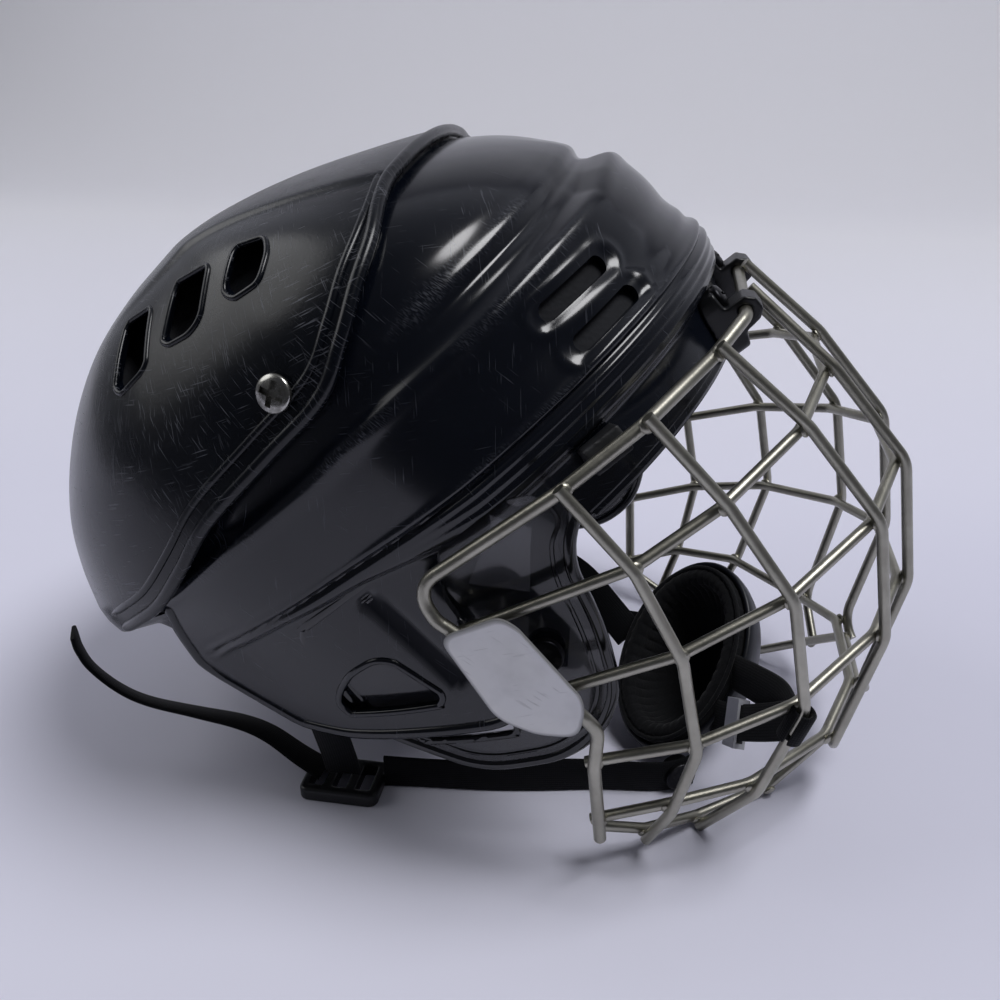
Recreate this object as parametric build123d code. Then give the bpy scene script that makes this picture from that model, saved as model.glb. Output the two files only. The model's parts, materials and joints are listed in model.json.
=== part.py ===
from build123d import *
import os
from math import cos, radians, sin, sqrt

# Ice hockey helmet with a wire face cage, in millimetres.
#
# The shells are drawn in the head frame: s forward along the brim, y to the wearer's
# left, t up, with its origin in the middle of the head at the height of the brim groove.
# At rest the helmet leans back on its cage and buckles, so everything is turned about y
# and set down on the floor at the end.

# Shell, overall
brim_reach = 91.5          # head centre to the brim's front
back_reach = 149.0         # head centre to the back of the front shell's form
half_width = 97.0          # head centre to the outside of the brim
crown_height = 108.0       # head centre to the top
skirt_depth = 100.0        # head centre down to below the ear guards
shell_wall = 3.0
overrun = 30.0             # how far cutters pass what they cut
side_cut = 32.0            # where cuts through one side begin, from the middle plane

# Rest attitude
lean = 42.0                # degrees, brim line above the floor
head_height = 124.85       # head centre above the floor

# Size setting
size_travel = 8.0          # how far the rear shell slides back
size_slope = 25.0          # degrees, the slide's rise towards the back, in the head frame

# Foam
liner_gap = 0.4
liner_thickness = 11.0
liner_parting = 1.2        # gap between neighbouring foams
rear_parting = 3.0         # gap in front of the rear foam

# Vents and windows
slot_length = 30.0
slot_width = 5.6
bar_depth = 1.2            # recess bar pressed into the side panel

# Side screw and T-nut
screw_head_radius = 5.75
screw_head_height = 2.4
screw_radius = 2.0
screw_clearance = 0.25
screw_tilt = 17.0          # degrees, the shell's lean at the screw
nut_radius = 7.0
nut_thickness = 2.0
nut_seat = 1.8             # nut's clearance under the curved shell
nut_gap = 0.04             # radial, screw to nut
screw_seat = 0.7           # head's underside off the drawn surface
cross_length = 6.3
cross_width = 1.0
cross_depth = 1.2

# Ear guard, pad and snap
guard_thickness = 2.4
guard_gap = 0.45           # between the side panel and the ear guard
pad_radius = 8.0
pad_length = 46.0
snap_radius = 5.5
snap_head_height = 2.2
snap_shank_radius = 2.1
snap_clearance = 0.1
snap_setback = 6.0         # snap's middle from the strap's end
ear_strap_width = 12.0

# Straps
strap_width = 13.0
strap_thickness = 1.6
strap_gap = 0.3
strap_bend = 14.0
tail_bend = 8.0
buckle_length = 28.0
buckle_width = 19.0
buckle_height = 5.0
buckle_bar = 3.2
buckle_place = (-41.0, 63.5)         # in the rest frame, along and across
strap_edge_height = 6.8              # middle of the strap that stands on its edge
tail_across = 62.0
tail_width = 10.4
hanger_top_rise = 44.0
hanger_top_across = 73.4
hanger_top_along = -43.4
# Strap routes in the rest frame: along and across, then along and up
chin_strap_route = [(-26.0, 61.0), (6.0, 57.6), (44.0, 50.6), (68.0, 47.6), (80.0, 41.5)]
tail_route = [(-56.0, 4.5), (-70.0, 15.0), (-100.0, 20.5), (-124.0, 28.0), (-136.5, 36.0),
              (-134.8, 52.0)]

# Cage wire
wire_radius = 1.75
rim_radius = 2.0
wire_bend = 13.0
rim_bend = 8.0
bottom_bend = 6.5
cage_reach = 95.6          # head centre to the foremost cross bar
cage_half_width = 98.0
cage_drop = 165.0          # head centre down to the bottom rim
bar_overhang = 3.0         # how far wire ends stand past their last joint
nose_upright = 17.0        # middle plane to the foremost uprights at the rim

# Cage clips
hinge_reach = 89.8         # rim wire ahead of the head centre, where the clips hold it
hinge_drop = 22.5
knee_width = 36.0          # half width of the rim's straight front
clip_inner = 20.6          # inner face of a clip from the middle plane
clip_width = 11.5
clip_size = 14.0
clip_clearance = 0.08      # rim wire in the clip
seat_gap = 0.3
clip_screw_radius = 3.1
clip_screw_height = 2.2
clip_shank_radius = 1.6
clip_shank_length = 7.4
clip_shank_gap = 0.1
rest_length = 12.0         # soft tab between the rim and the shell
rest_height = 8.0
rest_reach = 15.0
rest_setback = 11.0        # tab's middle behind the third upright

# Uprights are numbered from the nose; each one's lower end is at a bottom joint
uprights = (1, 2, 3, 4)
foot_joint = {1: 5, 2: 4, 3: 2, 4: 1}

# Plates
plate_thickness = 1.2
plate_corner = 3.0
plate_gap = 0.05
plate_hook = 6.0           # length of each curl round the wire

# Chin cup
cup_half_length = 34.0
cup_half_width = 27.0
cup_depth = 27.0
cup_wall = 2.2
cup_pad = 6.0
cup_roll = 3.3             # padded rim's radius
roll_rise = 1.0
cup_opening = (-0.6, -0.5, 0.62)
cup_long_axis = (0.27, 0.60, 0.75)
cup_strap_starts = [(91.0, -8.0, 27.0), (82.0, -24.0, 19.0)]
anchor_drop = 13.0         # strap loop below the third bar, along the upright
slider_share = 0.45        # slider's place along the lower strap
loose_strap_ends = [(54.0, 6.0, 29.0), (24.0, 34.0, 43.0)]
cup_strap_width = 12.0
cup_place = (73.0, -12.0, 32.0)      # in the rest frame
slider_length = 9.0
slider_thickness = 4.0
slider_width = 16.0

# Rows of a shell form: height, front reach, front centre, rear centre, rear reach, half
# width. Heights are shares of the crown height above the brim groove and of the skirt
# depth below it, reaches ahead are shares of the brim reach, and reaches behind are
# shares of the back reach.
front_skirt_shares = [
    (-0.95, 0.71, 0.0, -0.268, -0.87, 0.876),
    (-0.70, 0.765, 0.0, -0.268, -0.906, 0.907),
    (-0.31, 0.885, 0.0, -0.268, -0.953, 0.943),
    (-0.12, 0.929, 0.0, -0.268, -0.98, 0.959),
    (-0.11, 0.973, 0.0, -0.268, -0.98, 0.99),
    (0.0, 1.0, 0.0, -0.268, -0.993, 1.0),
    (0.037, 0.973, 0.0, -0.268, -0.993, 1.0),
    (0.13, 0.94, 0.0, -0.268, -1.0, 1.0),
    (0.287, 0.918, 0.0, -0.268, -1.0, 1.0),
    (0.315, 0.907, 0.0, -0.268, -1.0, 0.995),
    (0.352, 0.842, 0.0, -0.268, -0.993, 0.974),
]
front_dome_shares = [
    (0.352, 0.842, 0.0, -0.268, -0.993, 0.974),
    (0.463, 0.787, 0.0, -0.268, -0.96, 0.948),
    (0.593, 0.645, 0.0, -0.268, -0.906, 0.887),
    (0.704, 0.459, -0.034, -0.268, -0.805, 0.784),
    (0.796, 0.23, -0.067, -0.282, -0.691, 0.66),
    (0.87, -0.02, -0.148, -0.302, -0.577, 0.495),
    (0.917, -0.188, -0.228, -0.309, -0.43, 0.268),
]
rear_skirt_shares = [
    (-0.2, 0.5, 0.0, -0.302, -0.933, 0.81),
    (0.0, 0.5, 0.0, -0.302, -1.0, 0.845),
    (0.194, 0.6, 0.0, -0.302, -1.04, 0.86),
    (0.248, 0.98, 0.0, -0.302, -1.058, 1.037),
    (0.306, 0.98, 0.0, -0.302, -1.06, 1.037),
]
rear_dome_shares = [
    (0.306, 0.98, 0.0, -0.302, -1.06, 1.037),
    (0.352, 0.935, 0.0, -0.302, -1.054, 1.03),
    (0.463, 0.875, 0.0, -0.302, -1.013, 0.997),
    (0.593, 0.738, 0.0, -0.302, -0.953, 0.938),
    (0.704, 0.56, -0.027, -0.302, -0.872, 0.842),
    (0.815, 0.29, -0.067, -0.302, -0.765, 0.715),
    (0.917, 0.0, -0.148, -0.309, -0.624, 0.52),
    (0.972, -0.15, -0.242, -0.336, -0.483, 0.29),
]

# Side outlines, forward and height shares as above
lip_shares = [
    (0.72, 0.90), (0.514, 0.704), (0.486, 0.69), (0.442, 0.665), (0.417, 0.631),
    (0.391, 0.588), (0.341, 0.549), (0.284, 0.516), (0.219, 0.472), (0.142, 0.426),
    (0.016, 0.377), (-0.101, 0.367), (-0.248, 0.366), (-0.336, 0.337),
    (-0.416, 0.304), (-0.55, 0.262), (-0.601, 0.258),
]
tuck_shares = [
    (-0.56, 0.37), (-0.268, 0.519), (-0.148, 0.611), (0.087, 0.648), (0.153, 0.722),
    (0.219, 0.833), (0.25, 1.1),
]
panel_shares = [
    (-0.601, 0.25), (-0.644, 0.194), (-0.705, 0.037), (-0.705, -0.03), (-0.638, -0.32),
    (-0.477, -0.45), (-0.262, -0.58), (-0.195, -0.61), (-0.107, -0.29),
    (-0.101, -0.22), (-0.034, -0.085), (0.24, -0.085), (0.372, -0.31),
]
rear_hem_shares = [
    (-0.651, 0.258), (-0.651, 0.19), (-0.60, 0.18), (-0.60, -0.15), (-0.711, -0.15),
    (-0.721, 0.0), (-0.748, 0.08), (-0.792, 0.17), (-0.852, 0.245), (-0.933, 0.273),
]
rear_window_shares = [
    [(0.0, 0.806), (0.101, 0.769), (0.103, 0.731), (0.055, 0.689), (-0.03, 0.704),
     (-0.046, 0.736)],
    [(-0.06, 0.82), (-0.114, 0.731), (-0.15, 0.722), (-0.208, 0.741), (-0.221, 0.759),
     (-0.168, 0.84), (-0.154, 0.852)],
    [(-0.235, 0.857), (-0.275, 0.75), (-0.295, 0.741), (-0.362, 0.738), (-0.38, 0.764),
     (-0.329, 0.87), (-0.315, 0.88)],
]
panel_window_shares = [
    (-0.43, -0.27), (-0.383, -0.24), (-0.312, -0.25), (-0.289, -0.28), (-0.255, -0.44),
    (-0.268, -0.46), (-0.45, -0.33),
]
recess_bar_shares = [(-0.247, -0.10), (-0.201, -0.095), (-0.174, -0.49), (-0.208, -0.50)]
guard_shares = [
    (-0.477, -0.47), (-0.349, -0.77), (-0.195, -0.88), (-0.087, -0.87), (0.005, -0.78),
    (0.116, -0.59), (0.186, -0.38), (0.24, -0.31), (0.317, -0.26), (0.284, -0.14),
    (-0.403, -0.14), (-0.463, -0.30),
]
guard_slot_shares = [(-0.349, -0.486), (-0.181, -0.646), (-0.221, -0.68), (-0.369, -0.535)]
slot_shares = [
    ((0.599, 0.765, 0.18), (0.786, 0.538, 0.168)),
    ((0.619, 0.765, 0.068), (0.804, 0.548, 0.062)),
]
side_screw_shares = (-0.035, 0.467)
snap_shares = (-0.036, -0.54)

# Where the foams part, and how far some outlines run, as shares
top_share = 1.3
brow_share = -0.31
brow_split_share = 0.24
brow_foot_share = -0.28
ear_room_share = 0.38
ear_room_top_share = -0.12
crown_split_share = 0.62
crown_top_share = 0.86
side_back_share = -0.36
side_foot_share = 0.02
rear_foot_share = 0.03
rear_top_share = 0.93
ear_strap_shares = (0.01, -0.16)
ear_pad_shares = (-0.12, -0.20)
travel_stop_shares = (0.0, 0.25, 0.5, 0.75, 1.0)
ear_pad_turn = 62.0        # degrees
ear_pad_round_share = 0.8

# Joints of the cage wires on the left side, from the back forward: shares of the cage's
# reach, half width and drop
cage_rim_shares = [(-0.159, 1.0, -0.076), (0.363, 0.969, -0.095), (0.617, 0.847, -0.108),
                   (0.823, 0.531, -0.134)]
cage_frame_shares = [(-0.390, 0.883, -0.709), (-0.169, 0.966, -0.544),
                     (-0.058, 0.985, -0.479), (-0.052, 0.999, -0.433),
                     (-0.181, 1.006, -0.142)]
cage_bar_shares = [
    [(-0.157, 0.967, -0.193), (0.358, 0.949, -0.272), (0.621, 0.806, -0.303),
     (0.873, 0.51, -0.335), (1.0, 0.194, -0.338)],
    [(-0.08, 0.962, -0.379), (0.283, 0.939, -0.449), (0.587, 0.796, -0.509),
     (0.862, 0.5, -0.558), (0.998, 0.194, -0.568)],
    [(-0.169, 0.929, -0.544), (0.111, 0.918, -0.618), (0.397, 0.786, -0.695),
     (0.649, 0.49, -0.759), (0.769, 0.204, -0.779)],
    [(-0.35, 0.857, -0.679), (-0.135, 0.847, -0.727), (0.079, 0.745, -0.814),
     (0.28, 0.459, -0.918), (0.403, 0.204, -0.935)],
]
cage_bottom_shares = [(-0.374, 0.846, -0.703), (-0.308, 0.776, -0.781),
                      (-0.217, 0.622, -0.875), (-0.029, 0.429, -0.975),
                      (0.229, 0.306, -0.985), (0.401, 0.153, -0.965)]
# Outline of a clip from the rim wire's middle, shares of its size
clip_shares = [
    (-0.986, 0.757), (-0.3, 0.757), (-0.3, 0.293), (0.157, 0.293), (0.336, 0.107),
    (0.336, -0.179), (0.157, -0.336), (-0.236, -0.393), (-0.379, -0.75), (-0.986, -0.75),
]
# Outline of a plate, shares of the cage's reach and drop
hook_shares = (0.36, 0.64)
plate_shares = [
    (-0.199, -0.164), (-0.01, -0.194), (0.010, -0.224), (0.003, -0.394),
    (-0.026, -0.424), (-0.105, -0.461), (-0.188, -0.412), (-0.251, -0.345),
]


def ahead(share, front=brim_reach, back=back_reach):
    """Place along the brim line for a share: ahead of the head centre or behind it."""
    return share * (front if share > 0 else back)


def above(share):
    """Place up or down from the brim groove for a share."""
    return share * (crown_height if share > 0 else skirt_depth)


def side(shares):
    """Side outline points in millimetres."""
    return [(ahead(s), above(t)) for s, t in shares]


def section(row, grow=0.0):
    """Closed section wire of a shell form at one height, grown outwards by a distance."""
    t, front, front_centre, rear_centre, rear, width = row
    height = above(t) * (1 + (grow / crown_height if t > 0 else 0))
    ahead_scale = brim_reach + grow
    behind_scale = back_reach + grow
    places = [ahead(v, ahead_scale, behind_scale)
              for v in (front, front_centre, rear_centre, rear)]
    front_s, front_c, rear_c, rear_s = places
    half = width * (half_width + grow)
    nose = Plane(origin=(front_c, 0, height), x_dir=(1, 0, 0), z_dir=(0, 0, 1))
    tail = Plane(origin=(rear_c, 0, height), x_dir=(1, 0, 0), z_dir=(0, 0, 1))
    edges = [
        Edge.make_ellipse(front_s - front_c, half, nose, 0, 90),
        Edge.make_line((front_c, half, height), (rear_c, half, height)),
        Edge.make_ellipse(rear_c - rear_s, half, tail, 90, 180),
        Edge.make_ellipse(rear_c - rear_s, half, tail, 180, 270),
        Edge.make_line((rear_c, -half, height), (front_c, -half, height)),
        Edge.make_ellipse(front_s - front_c, half, nose, 270, 360),
    ]
    return Wire(edges)


def form(skirt, dome, grow=0.0):
    """Solid head form: straight-sided skirt rows and a smooth dome above them."""
    low = Solid.make_loft([section(row, grow) for row in skirt], ruled=True)
    high = Solid.make_loft([section(row, grow) for row in dome])
    return low + high


made_forms = {}


def front_form(grow=0.0):
    if ("front", grow) not in made_forms:
        made_forms["front", grow] = form(front_skirt_shares, front_dome_shares, grow)
    return made_forms["front", grow]


def rear_form(grow=0.0):
    if ("rear", grow) not in made_forms:
        made_forms["rear", grow] = form(rear_skirt_shares, rear_dome_shares, grow)
    return made_forms["rear", grow]


def skirt_form(grow=0.0):
    """Front shell form without its dome."""
    return Solid.make_loft([section(row, grow) for row in front_skirt_shares], ruled=True)


def across(points, y_low, y_high):
    """Prism of a side outline from one distance across the head to another."""
    face = make_face(Polyline(*[(s, 0, t) for s, t in points], close=True))
    prism = extrude(face, amount=y_high - y_low, dir=(0, 1, 0))
    return Pos(0, y_low, 0) * prism


def through(points):
    """Prism of a side outline right through the helmet."""
    return across(points, -half_width - overrun, half_width + overrun)


def rounded_across(points, radius, y_low, y_high):
    """Prism of a side outline with rounded corners."""
    line = FilletPolyline(*[(s, 0, t) for s, t in points], radius=radius, close=True)
    prism = extrude(make_face(line), amount=y_high - y_low, dir=(0, 1, 0))
    return Pos(0, y_low, 0) * prism


def mirrored(shape):
    return mirror(shape, about=Plane.XZ)


def both(shape):
    """The left piece as drawn and its right twin."""
    return {"left": shape, "right": mirrored(shape)}


# Front shell

slide_dir = (-cos(radians(size_slope)), 0, sin(radians(size_slope)))
slide_rise = size_travel * sin(radians(size_slope))
slide_back = size_travel * cos(radians(size_slope))

window_corner = 2.0
guard_corner = 5.0
panel_corner = 4.0
bar_corner = 2.0


def side_half_width(s, row):
    """Half width of a form's section at a place ahead of its front centre or behind."""
    t, front, front_centre, rear_centre, rear, width = row
    front_s, front_c, rear_c, rear_s = [ahead(v) for v in (front, front_centre,
                                                           rear_centre, rear)]
    if s > front_c:
        offset = (s - front_c) / (front_s - front_c)
    elif s < rear_c:
        offset = (s - rear_c) / (rear_s - rear_c)
    else:
        offset = 0
    return width * half_width * sqrt(1 - offset * offset)


def screw_place():
    """Centre of the side screw on the rear shell's outside, and its outward direction."""
    s, t = ahead(side_screw_shares[0]), above(side_screw_shares[1])
    row = rear_dome_shares[2]
    outward = Vector(0, cos(radians(screw_tilt)), sin(radians(screw_tilt)))
    return Vector(s, side_half_width(s, row), t), outward


def slot_cutters(length, width, depth):
    """Two round-ended slots on the left of the forehead, cut square to the shell."""
    cutters = []
    for low, high in slot_shares:
        a = Vector(ahead(low[0]), low[1] * half_width, above(low[2]))
        b = Vector(ahead(high[0]), high[1] * half_width, above(high[2]))
        along = (b - a).normalized()
        outward = Vector(-along.Y, along.X, 0).normalized()
        middle = (a + b) / 2
        plane = Plane(origin=middle - outward * depth, x_dir=along, z_dir=outward)
        cutters.append(plane * extrude(SlotOverall(length, width), amount=2 * depth))
    return cutters


def nut_slot():
    """Slot through the front shell for the side screw's travel."""
    centre, outward = screw_place()
    plane = Plane(origin=centre - outward * overrun / 2, x_dir=slide_dir,
                  z_dir=outward)
    width = 2 * (screw_radius + screw_clearance)
    slot = extrude(SlotOverall(width + size_travel + 2 * screw_clearance, width),
                   amount=overrun)
    return plane * Pos(size_travel / 2, 0, 0) * slot


def front_outline():
    """Side outline of the front shell: panels, open face, brow and the tuck line."""
    top = above(top_share)
    front = brim_reach + overrun
    brow_drop = above(brow_share)
    return side(panel_shares) + [(front, brow_drop), (front, top)] + side(tuck_shares)[::-1]


def make_front_shell():
    shell = front_form() - front_form(-shell_wall)
    shell = shell & through(front_outline())
    for cutter in slot_cutters(slot_length, slot_width, overrun / 2):
        shell = shell - cutter - mirrored(cutter)
    reach = half_width + overrun
    window = rounded_across(side(panel_window_shares), window_corner, side_cut, reach)
    bar_cut = rounded_across(side(recess_bar_shares), bar_corner, side_cut, reach)
    bar_cut = bar_cut - skirt_form(-bar_depth)
    slot = nut_slot()
    for cutter in (window, bar_cut, slot):
        shell = shell - cutter - mirrored(cutter)
    return shell


# Rear shell

def rear_outline():
    """Side outline of the rear shell: lip over the front shell, tucked hem below."""
    back = -back_reach - overrun
    top = above(top_share)
    lip = side(lip_shares)
    hem = side(rear_hem_shares)
    return lip + hem + [(back, hem[-1][1]), (back, top), (lip[0][0], top)]


def make_rear_shell():
    shell = rear_form() - rear_form(-shell_wall)
    shell = shell & through(rear_outline())
    reach = half_width + overrun
    for window in rear_window_shares:
        cutter = rounded_across(side(window), window_corner, side_cut, reach)
        shell = shell - cutter - mirrored(cutter)
    centre, outward = screw_place()
    hole = Cylinder(screw_radius + screw_clearance, overrun)
    hole = Plane(origin=centre, z_dir=outward) * hole
    return shell - hole - mirrored(hole)


# Side screws and T-nuts

screw_length = 2 * shell_wall + screw_head_height + nut_thickness + nut_seat


def make_side_screw():
    """Screw with a domed cross-recessed head, and its shank through both shells."""
    centre, outward = screw_place()
    plane = Plane(origin=centre, z_dir=outward, x_dir=slide_dir)
    head = Pos(0, 0, screw_seat + screw_head_height / 2) * Cylinder(screw_head_radius,
                                                               screw_head_height)
    head = fillet(head.edges().group_by(Axis.Z)[-1], screw_head_height / 2)
    shank = Pos(0, 0, screw_seat - screw_length / 2) * Cylinder(screw_radius, screw_length)
    arms = Box(cross_length, cross_width, cross_depth) + Box(cross_width, cross_length,
                                                             cross_depth)
    cross = Pos(0, 0, screw_seat + screw_head_height) * arms
    return plane * (head + shank - cross)


def make_nut():
    """Round T-nut on the shank, inside the front shell."""
    centre, outward = screw_place()
    plane = Plane(origin=centre, z_dir=outward)
    ring = Cylinder(nut_radius, nut_thickness)
    ring = ring - Cylinder(screw_radius + nut_gap, nut_thickness)
    depth = screw_seat - screw_length + nut_thickness / 2
    return plane * Pos(0, 0, depth) * ring


# Foam liner

def slab(s_low, s_high, t_low, t_high, y_low=None, y_high=None):
    """Box between two places along, up and across the head."""
    y_low = -half_width - overrun if y_low is None else y_low
    y_high = half_width + overrun if y_high is None else y_high
    return Pos((s_low + s_high) / 2, (y_low + y_high) / 2, (t_low + t_high) / 2) * Box(
        s_high - s_low, y_high - y_low, t_high - t_low)


def nut_pocket():
    """Hollow in the side foam for the T-nut and its travel."""
    centre, outward = screw_place()
    plane = Plane(origin=centre, x_dir=slide_dir, z_dir=outward)
    width = 2 * nut_radius + screw_clearance * 4
    pocket = extrude(SlotOverall(width + size_travel, width), amount=-liner_thickness - shell_wall)
    return plane * Pos(size_travel / 2, 0, 0) * pocket


def cleared_of_front(foam, depth):
    """Rear foam without what the front shell takes up on its way through the travel."""
    zone = through(front_outline()) & slab(-back_reach, 0, -skirt_depth, crown_height)
    room = front_form(-depth)
    swept = zone
    for share in travel_stop_shares:
        swept = swept + Pos(slide_back * share, 0, -slide_rise * share) * zone
    for share in travel_stop_shares:
        foam = foam - (swept - Pos(slide_back * share, 0, -slide_rise * share) * room)
    return foam


def make_liners():
    """Forehead, crown, side and rear foams, following the shells' insides."""
    outer = shell_wall + liner_gap
    inner = outer + liner_thickness
    foam = front_form(-outer) - front_form(-inner)
    brow_split = ahead(brow_split_share)
    crown_split = above(crown_split_share)
    side_back = ahead(side_back_share)
    front_end = brim_reach + overrun
    pieces = {}
    brow = foam & slab(brow_split, front_end, above(brow_foot_share), crown_split)
    ear_room = slab(brow_split - overrun, ahead(ear_room_share), above(brow_foot_share)
                    - overrun, above(ear_room_top_share))
    pieces["liner_front"] = brow - ear_room
    pieces["liner_crown"] = foam & slab(side_back, front_end, crown_split + liner_parting,
                                        above(crown_top_share))
    side_foam = foam & slab(side_back, brow_split - liner_parting, above(side_foot_share),
                            crown_split, side_cut, half_width)
    side_foam = side_foam - nut_pocket()
    for hand, shape in both(side_foam).items():
        pieces["liner_side_" + hand] = shape
    rear_foam = rear_form(-outer) - rear_form(-inner)
    rear_box = slab(-back_reach - overrun, side_back - rear_parting,
                    above(rear_foot_share), above(rear_top_share))
    pieces["liner_rear"] = cleared_of_front(rear_foam & rear_box, outer)
    return pieces


# Ear guards, pads and snaps

def guard_depth():
    return shell_wall + guard_gap


def make_ear_guard():
    skin = skirt_form(-guard_depth()) - skirt_form(-guard_depth() - guard_thickness)
    reach = half_width + overrun
    plate = skin & rounded_across(side(guard_shares), guard_corner, side_cut, reach)
    slot = rounded_across(side(guard_slot_shares), window_corner, side_cut, reach)
    centre = snap_centre()
    hole = Plane(origin=centre, z_dir=(0, 1, 0)) * Cylinder(snap_shank_radius + snap_clearance,
                                                            overrun)
    return plate - slot - hole


def guard_row():
    """Section row at the height of the snap, between the skirt's two lowest rows."""
    low, high = front_skirt_shares[1], front_skirt_shares[2]
    part = (snap_shares[1] - low[0]) / (high[0] - low[0])
    return [a + (b - a) * part for a, b in zip(low, high)]


def snap_centre():
    s = ahead(snap_shares[0])
    outside = side_half_width(s, guard_row()) - guard_depth()
    return Vector(s, outside - guard_thickness / 2, above(snap_shares[1]))


def snap(grip):
    """Two round caps on a shank, with a grip between them."""
    middle = grip / 2 + snap_head_height / 2
    head = Pos(0, 0, middle) * Cylinder(snap_radius, snap_head_height)
    head = fillet(head.edges().group_by(Axis.Z)[-1], snap_head_height / 3)
    cap = Pos(0, 0, -middle) * Cylinder(snap_radius, snap_head_height)
    return head + cap + Cylinder(snap_shank_radius, grip)


def make_ear_snap():
    """Stud through the ear guard and the ear strap."""
    grip = guard_thickness + 2 * seat_gap + 2 * strap_thickness
    return Plane(origin=snap_centre(), z_dir=(0, 1, 0)) * snap(grip)


def make_ear_strap():
    """Short strap from inside the shell to the snap, behind the ear guard."""
    centre = snap_centre()
    inside = centre.Y - guard_thickness / 2 - seat_gap - strap_thickness / 2
    top = Vector(ahead(ear_strap_shares[0]), inside, above(ear_strap_shares[1]))
    foot = Vector(centre.X, inside, centre.Z - snap_radius - strap_gap)
    band = flat_strap(top, foot, (1, 0, 0), ear_strap_width)
    hole = Plane(origin=centre, z_dir=(0, 1, 0)) * Cylinder(snap_shank_radius + snap_clearance,
                                                            overrun)
    return band - hole


def make_ear_pad():
    """Soft roll between the ear guard and the head, with rounded ends."""
    strap_face = snap_centre().Y - guard_thickness / 2 - seat_gap - strap_thickness
    y = strap_face - strap_gap - pad_radius
    roll = Cylinder(pad_radius, pad_length)
    roll = fillet(roll.edges(), pad_radius * ear_pad_round_share)
    place = Pos(ahead(ear_pad_shares[0]), y, above(ear_pad_shares[1]))
    return place * Rot(0, ear_pad_turn, 0) * roll


# Straps and buckles, in the rest frame with its origin on the floor under the head centre

def strap_plane(start, end, across_dir):
    """Plane in the middle of a straight strap, x along it and y across it."""
    along = (end - start).normalized()
    wide = Vector(*across_dir)
    wide = (wide - along * wide.dot(along)).normalized()
    return Plane(origin=(start + end) / 2, x_dir=along, z_dir=along.cross(wide))


def flat_strap(start, end, across_dir, width, thickness=strap_thickness):
    """Straight flat strap between two points, its width along a direction."""
    plane = strap_plane(start, end, across_dir)
    return plane * Box((end - start).length, width, thickness)


def ribbon(points, bends, wide_dir, width, thickness=strap_thickness):
    """Flat strap swept along straight runs joined by tangent arcs."""
    path = FilletPolyline(*points, radius=bends)
    start = Plane(origin=path @ 0, z_dir=path % 0, x_dir=wide_dir)
    return sweep(start * Rectangle(width, thickness), path=path)


def strap_end_place():
    """Middle of the chin strap's snap, and the direction across the strap there."""
    last = Vector(*chin_strap_route[-1], strap_edge_height)
    before = Vector(*chin_strap_route[-2], strap_edge_height)
    along = (last - before).normalized()
    return last - along * snap_setback, Vector(-along.Y, along.X, 0)


def make_chin_strap():
    points = [(x, y, strap_edge_height) for x, y in chin_strap_route]
    band = ribbon(points, strap_bend, (0, 0, 1), strap_width)
    centre, outward = strap_end_place()
    hole = Cylinder(snap_shank_radius + snap_clearance, overrun)
    return band - Plane(origin=centre, z_dir=outward) * hole


def make_chin_snap():
    """Open snap through the chin strap's free end."""
    centre, outward = strap_end_place()
    return Plane(origin=centre, z_dir=outward) * snap(strap_thickness + strap_gap)


def make_strap_tail():
    points = [(x, -tail_across, z) for x, z in tail_route]
    return ribbon(points, tail_bend, (0, 1, 0), tail_width)


def make_buckle():
    frame = Box(buckle_length, buckle_width, buckle_height)
    frame = fillet(frame.edges().filter_by(Axis.Z), buckle_bar)
    frame = fillet(frame.edges().group_by(Axis.Z)[-1], buckle_height / 4)
    opening = (buckle_length - 4 * buckle_bar) / 3
    for place in (-1, 0, 1):
        slot = Box(opening, buckle_width - 2 * buckle_bar, buckle_height * 2)
        frame = frame - Pos(place * (opening + buckle_bar), 0, 0) * slot
    return Pos(buckle_place[0], buckle_place[1], buckle_height / 2 + strap_gap) * frame


def make_strap_hanger():
    """Strap from inside the side panel's rear corner down to the buckle."""
    x, y = buckle_place
    top = Vector(hanger_top_along, hanger_top_across, hanger_top_rise)
    foot = Vector(x, y, buckle_height + 2 * strap_gap + strap_thickness / 2)
    return flat_strap(top, foot, (1, 0, 0), strap_width)


# Cage

def joint(share):
    """Place of a cage joint in the head frame."""
    return Vector(share[0] * cage_reach, share[1] * cage_half_width, share[2] * cage_drop)


def welded_step(row, row_above, row_below, index):
    """Step from a bar's middle to the upright welded on its outside."""
    along = row[min(index + 1, len(row) - 1)] - row[index - 1]
    down = row_below[index] - row_above[index]
    normal = along.cross(down).normalized()
    if normal.dot(row[index] - Vector(0, 0, -cage_drop / 2)) < 0:
        normal = normal * -1
    return normal * 2 * wire_radius


def outward_at(points, index):
    """Level direction square to a bar at one joint, pointing out of the cage."""
    before = points[max(index - 1, 0)]
    after = points[min(index + 1, len(points) - 1)]
    along = (after - before)
    normal = Vector(-along.Y, along.X, 0).normalized()
    return normal if normal.dot(Vector(points[index].X, points[index].Y, 0)) > 0 else normal * -1


def wire(points, bend, radius=wire_radius):
    path = FilletPolyline(*points, radius=bend)
    start = Plane(origin=path @ 0, z_dir=path % 0)
    return sweep(start * Circle(radius), path=path)


def flip(point):
    return Vector(point.X, -point.Y, point.Z)


def around(points):
    """Points of a left half carried round the front to the right half."""
    return points + [flip(p) for p in points[::-1]]


def rim_joints():
    """Left half of the top rim, from its rear corner to the straight front."""
    knee = Vector(hinge_reach, knee_width, -hinge_drop)
    return [joint(share) for share in cage_rim_shares] + [knee]


def bar_joints(index):
    return [joint(share) for share in cage_bar_shares[index]]


def bottom_joints():
    return [joint(share) for share in cage_bottom_shares]


def overhang(points):
    """Points with the first one moved back past its joint."""
    back = (points[0] - points[1]).normalized() * bar_overhang
    return [points[0] + back] + points[1:]


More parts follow.
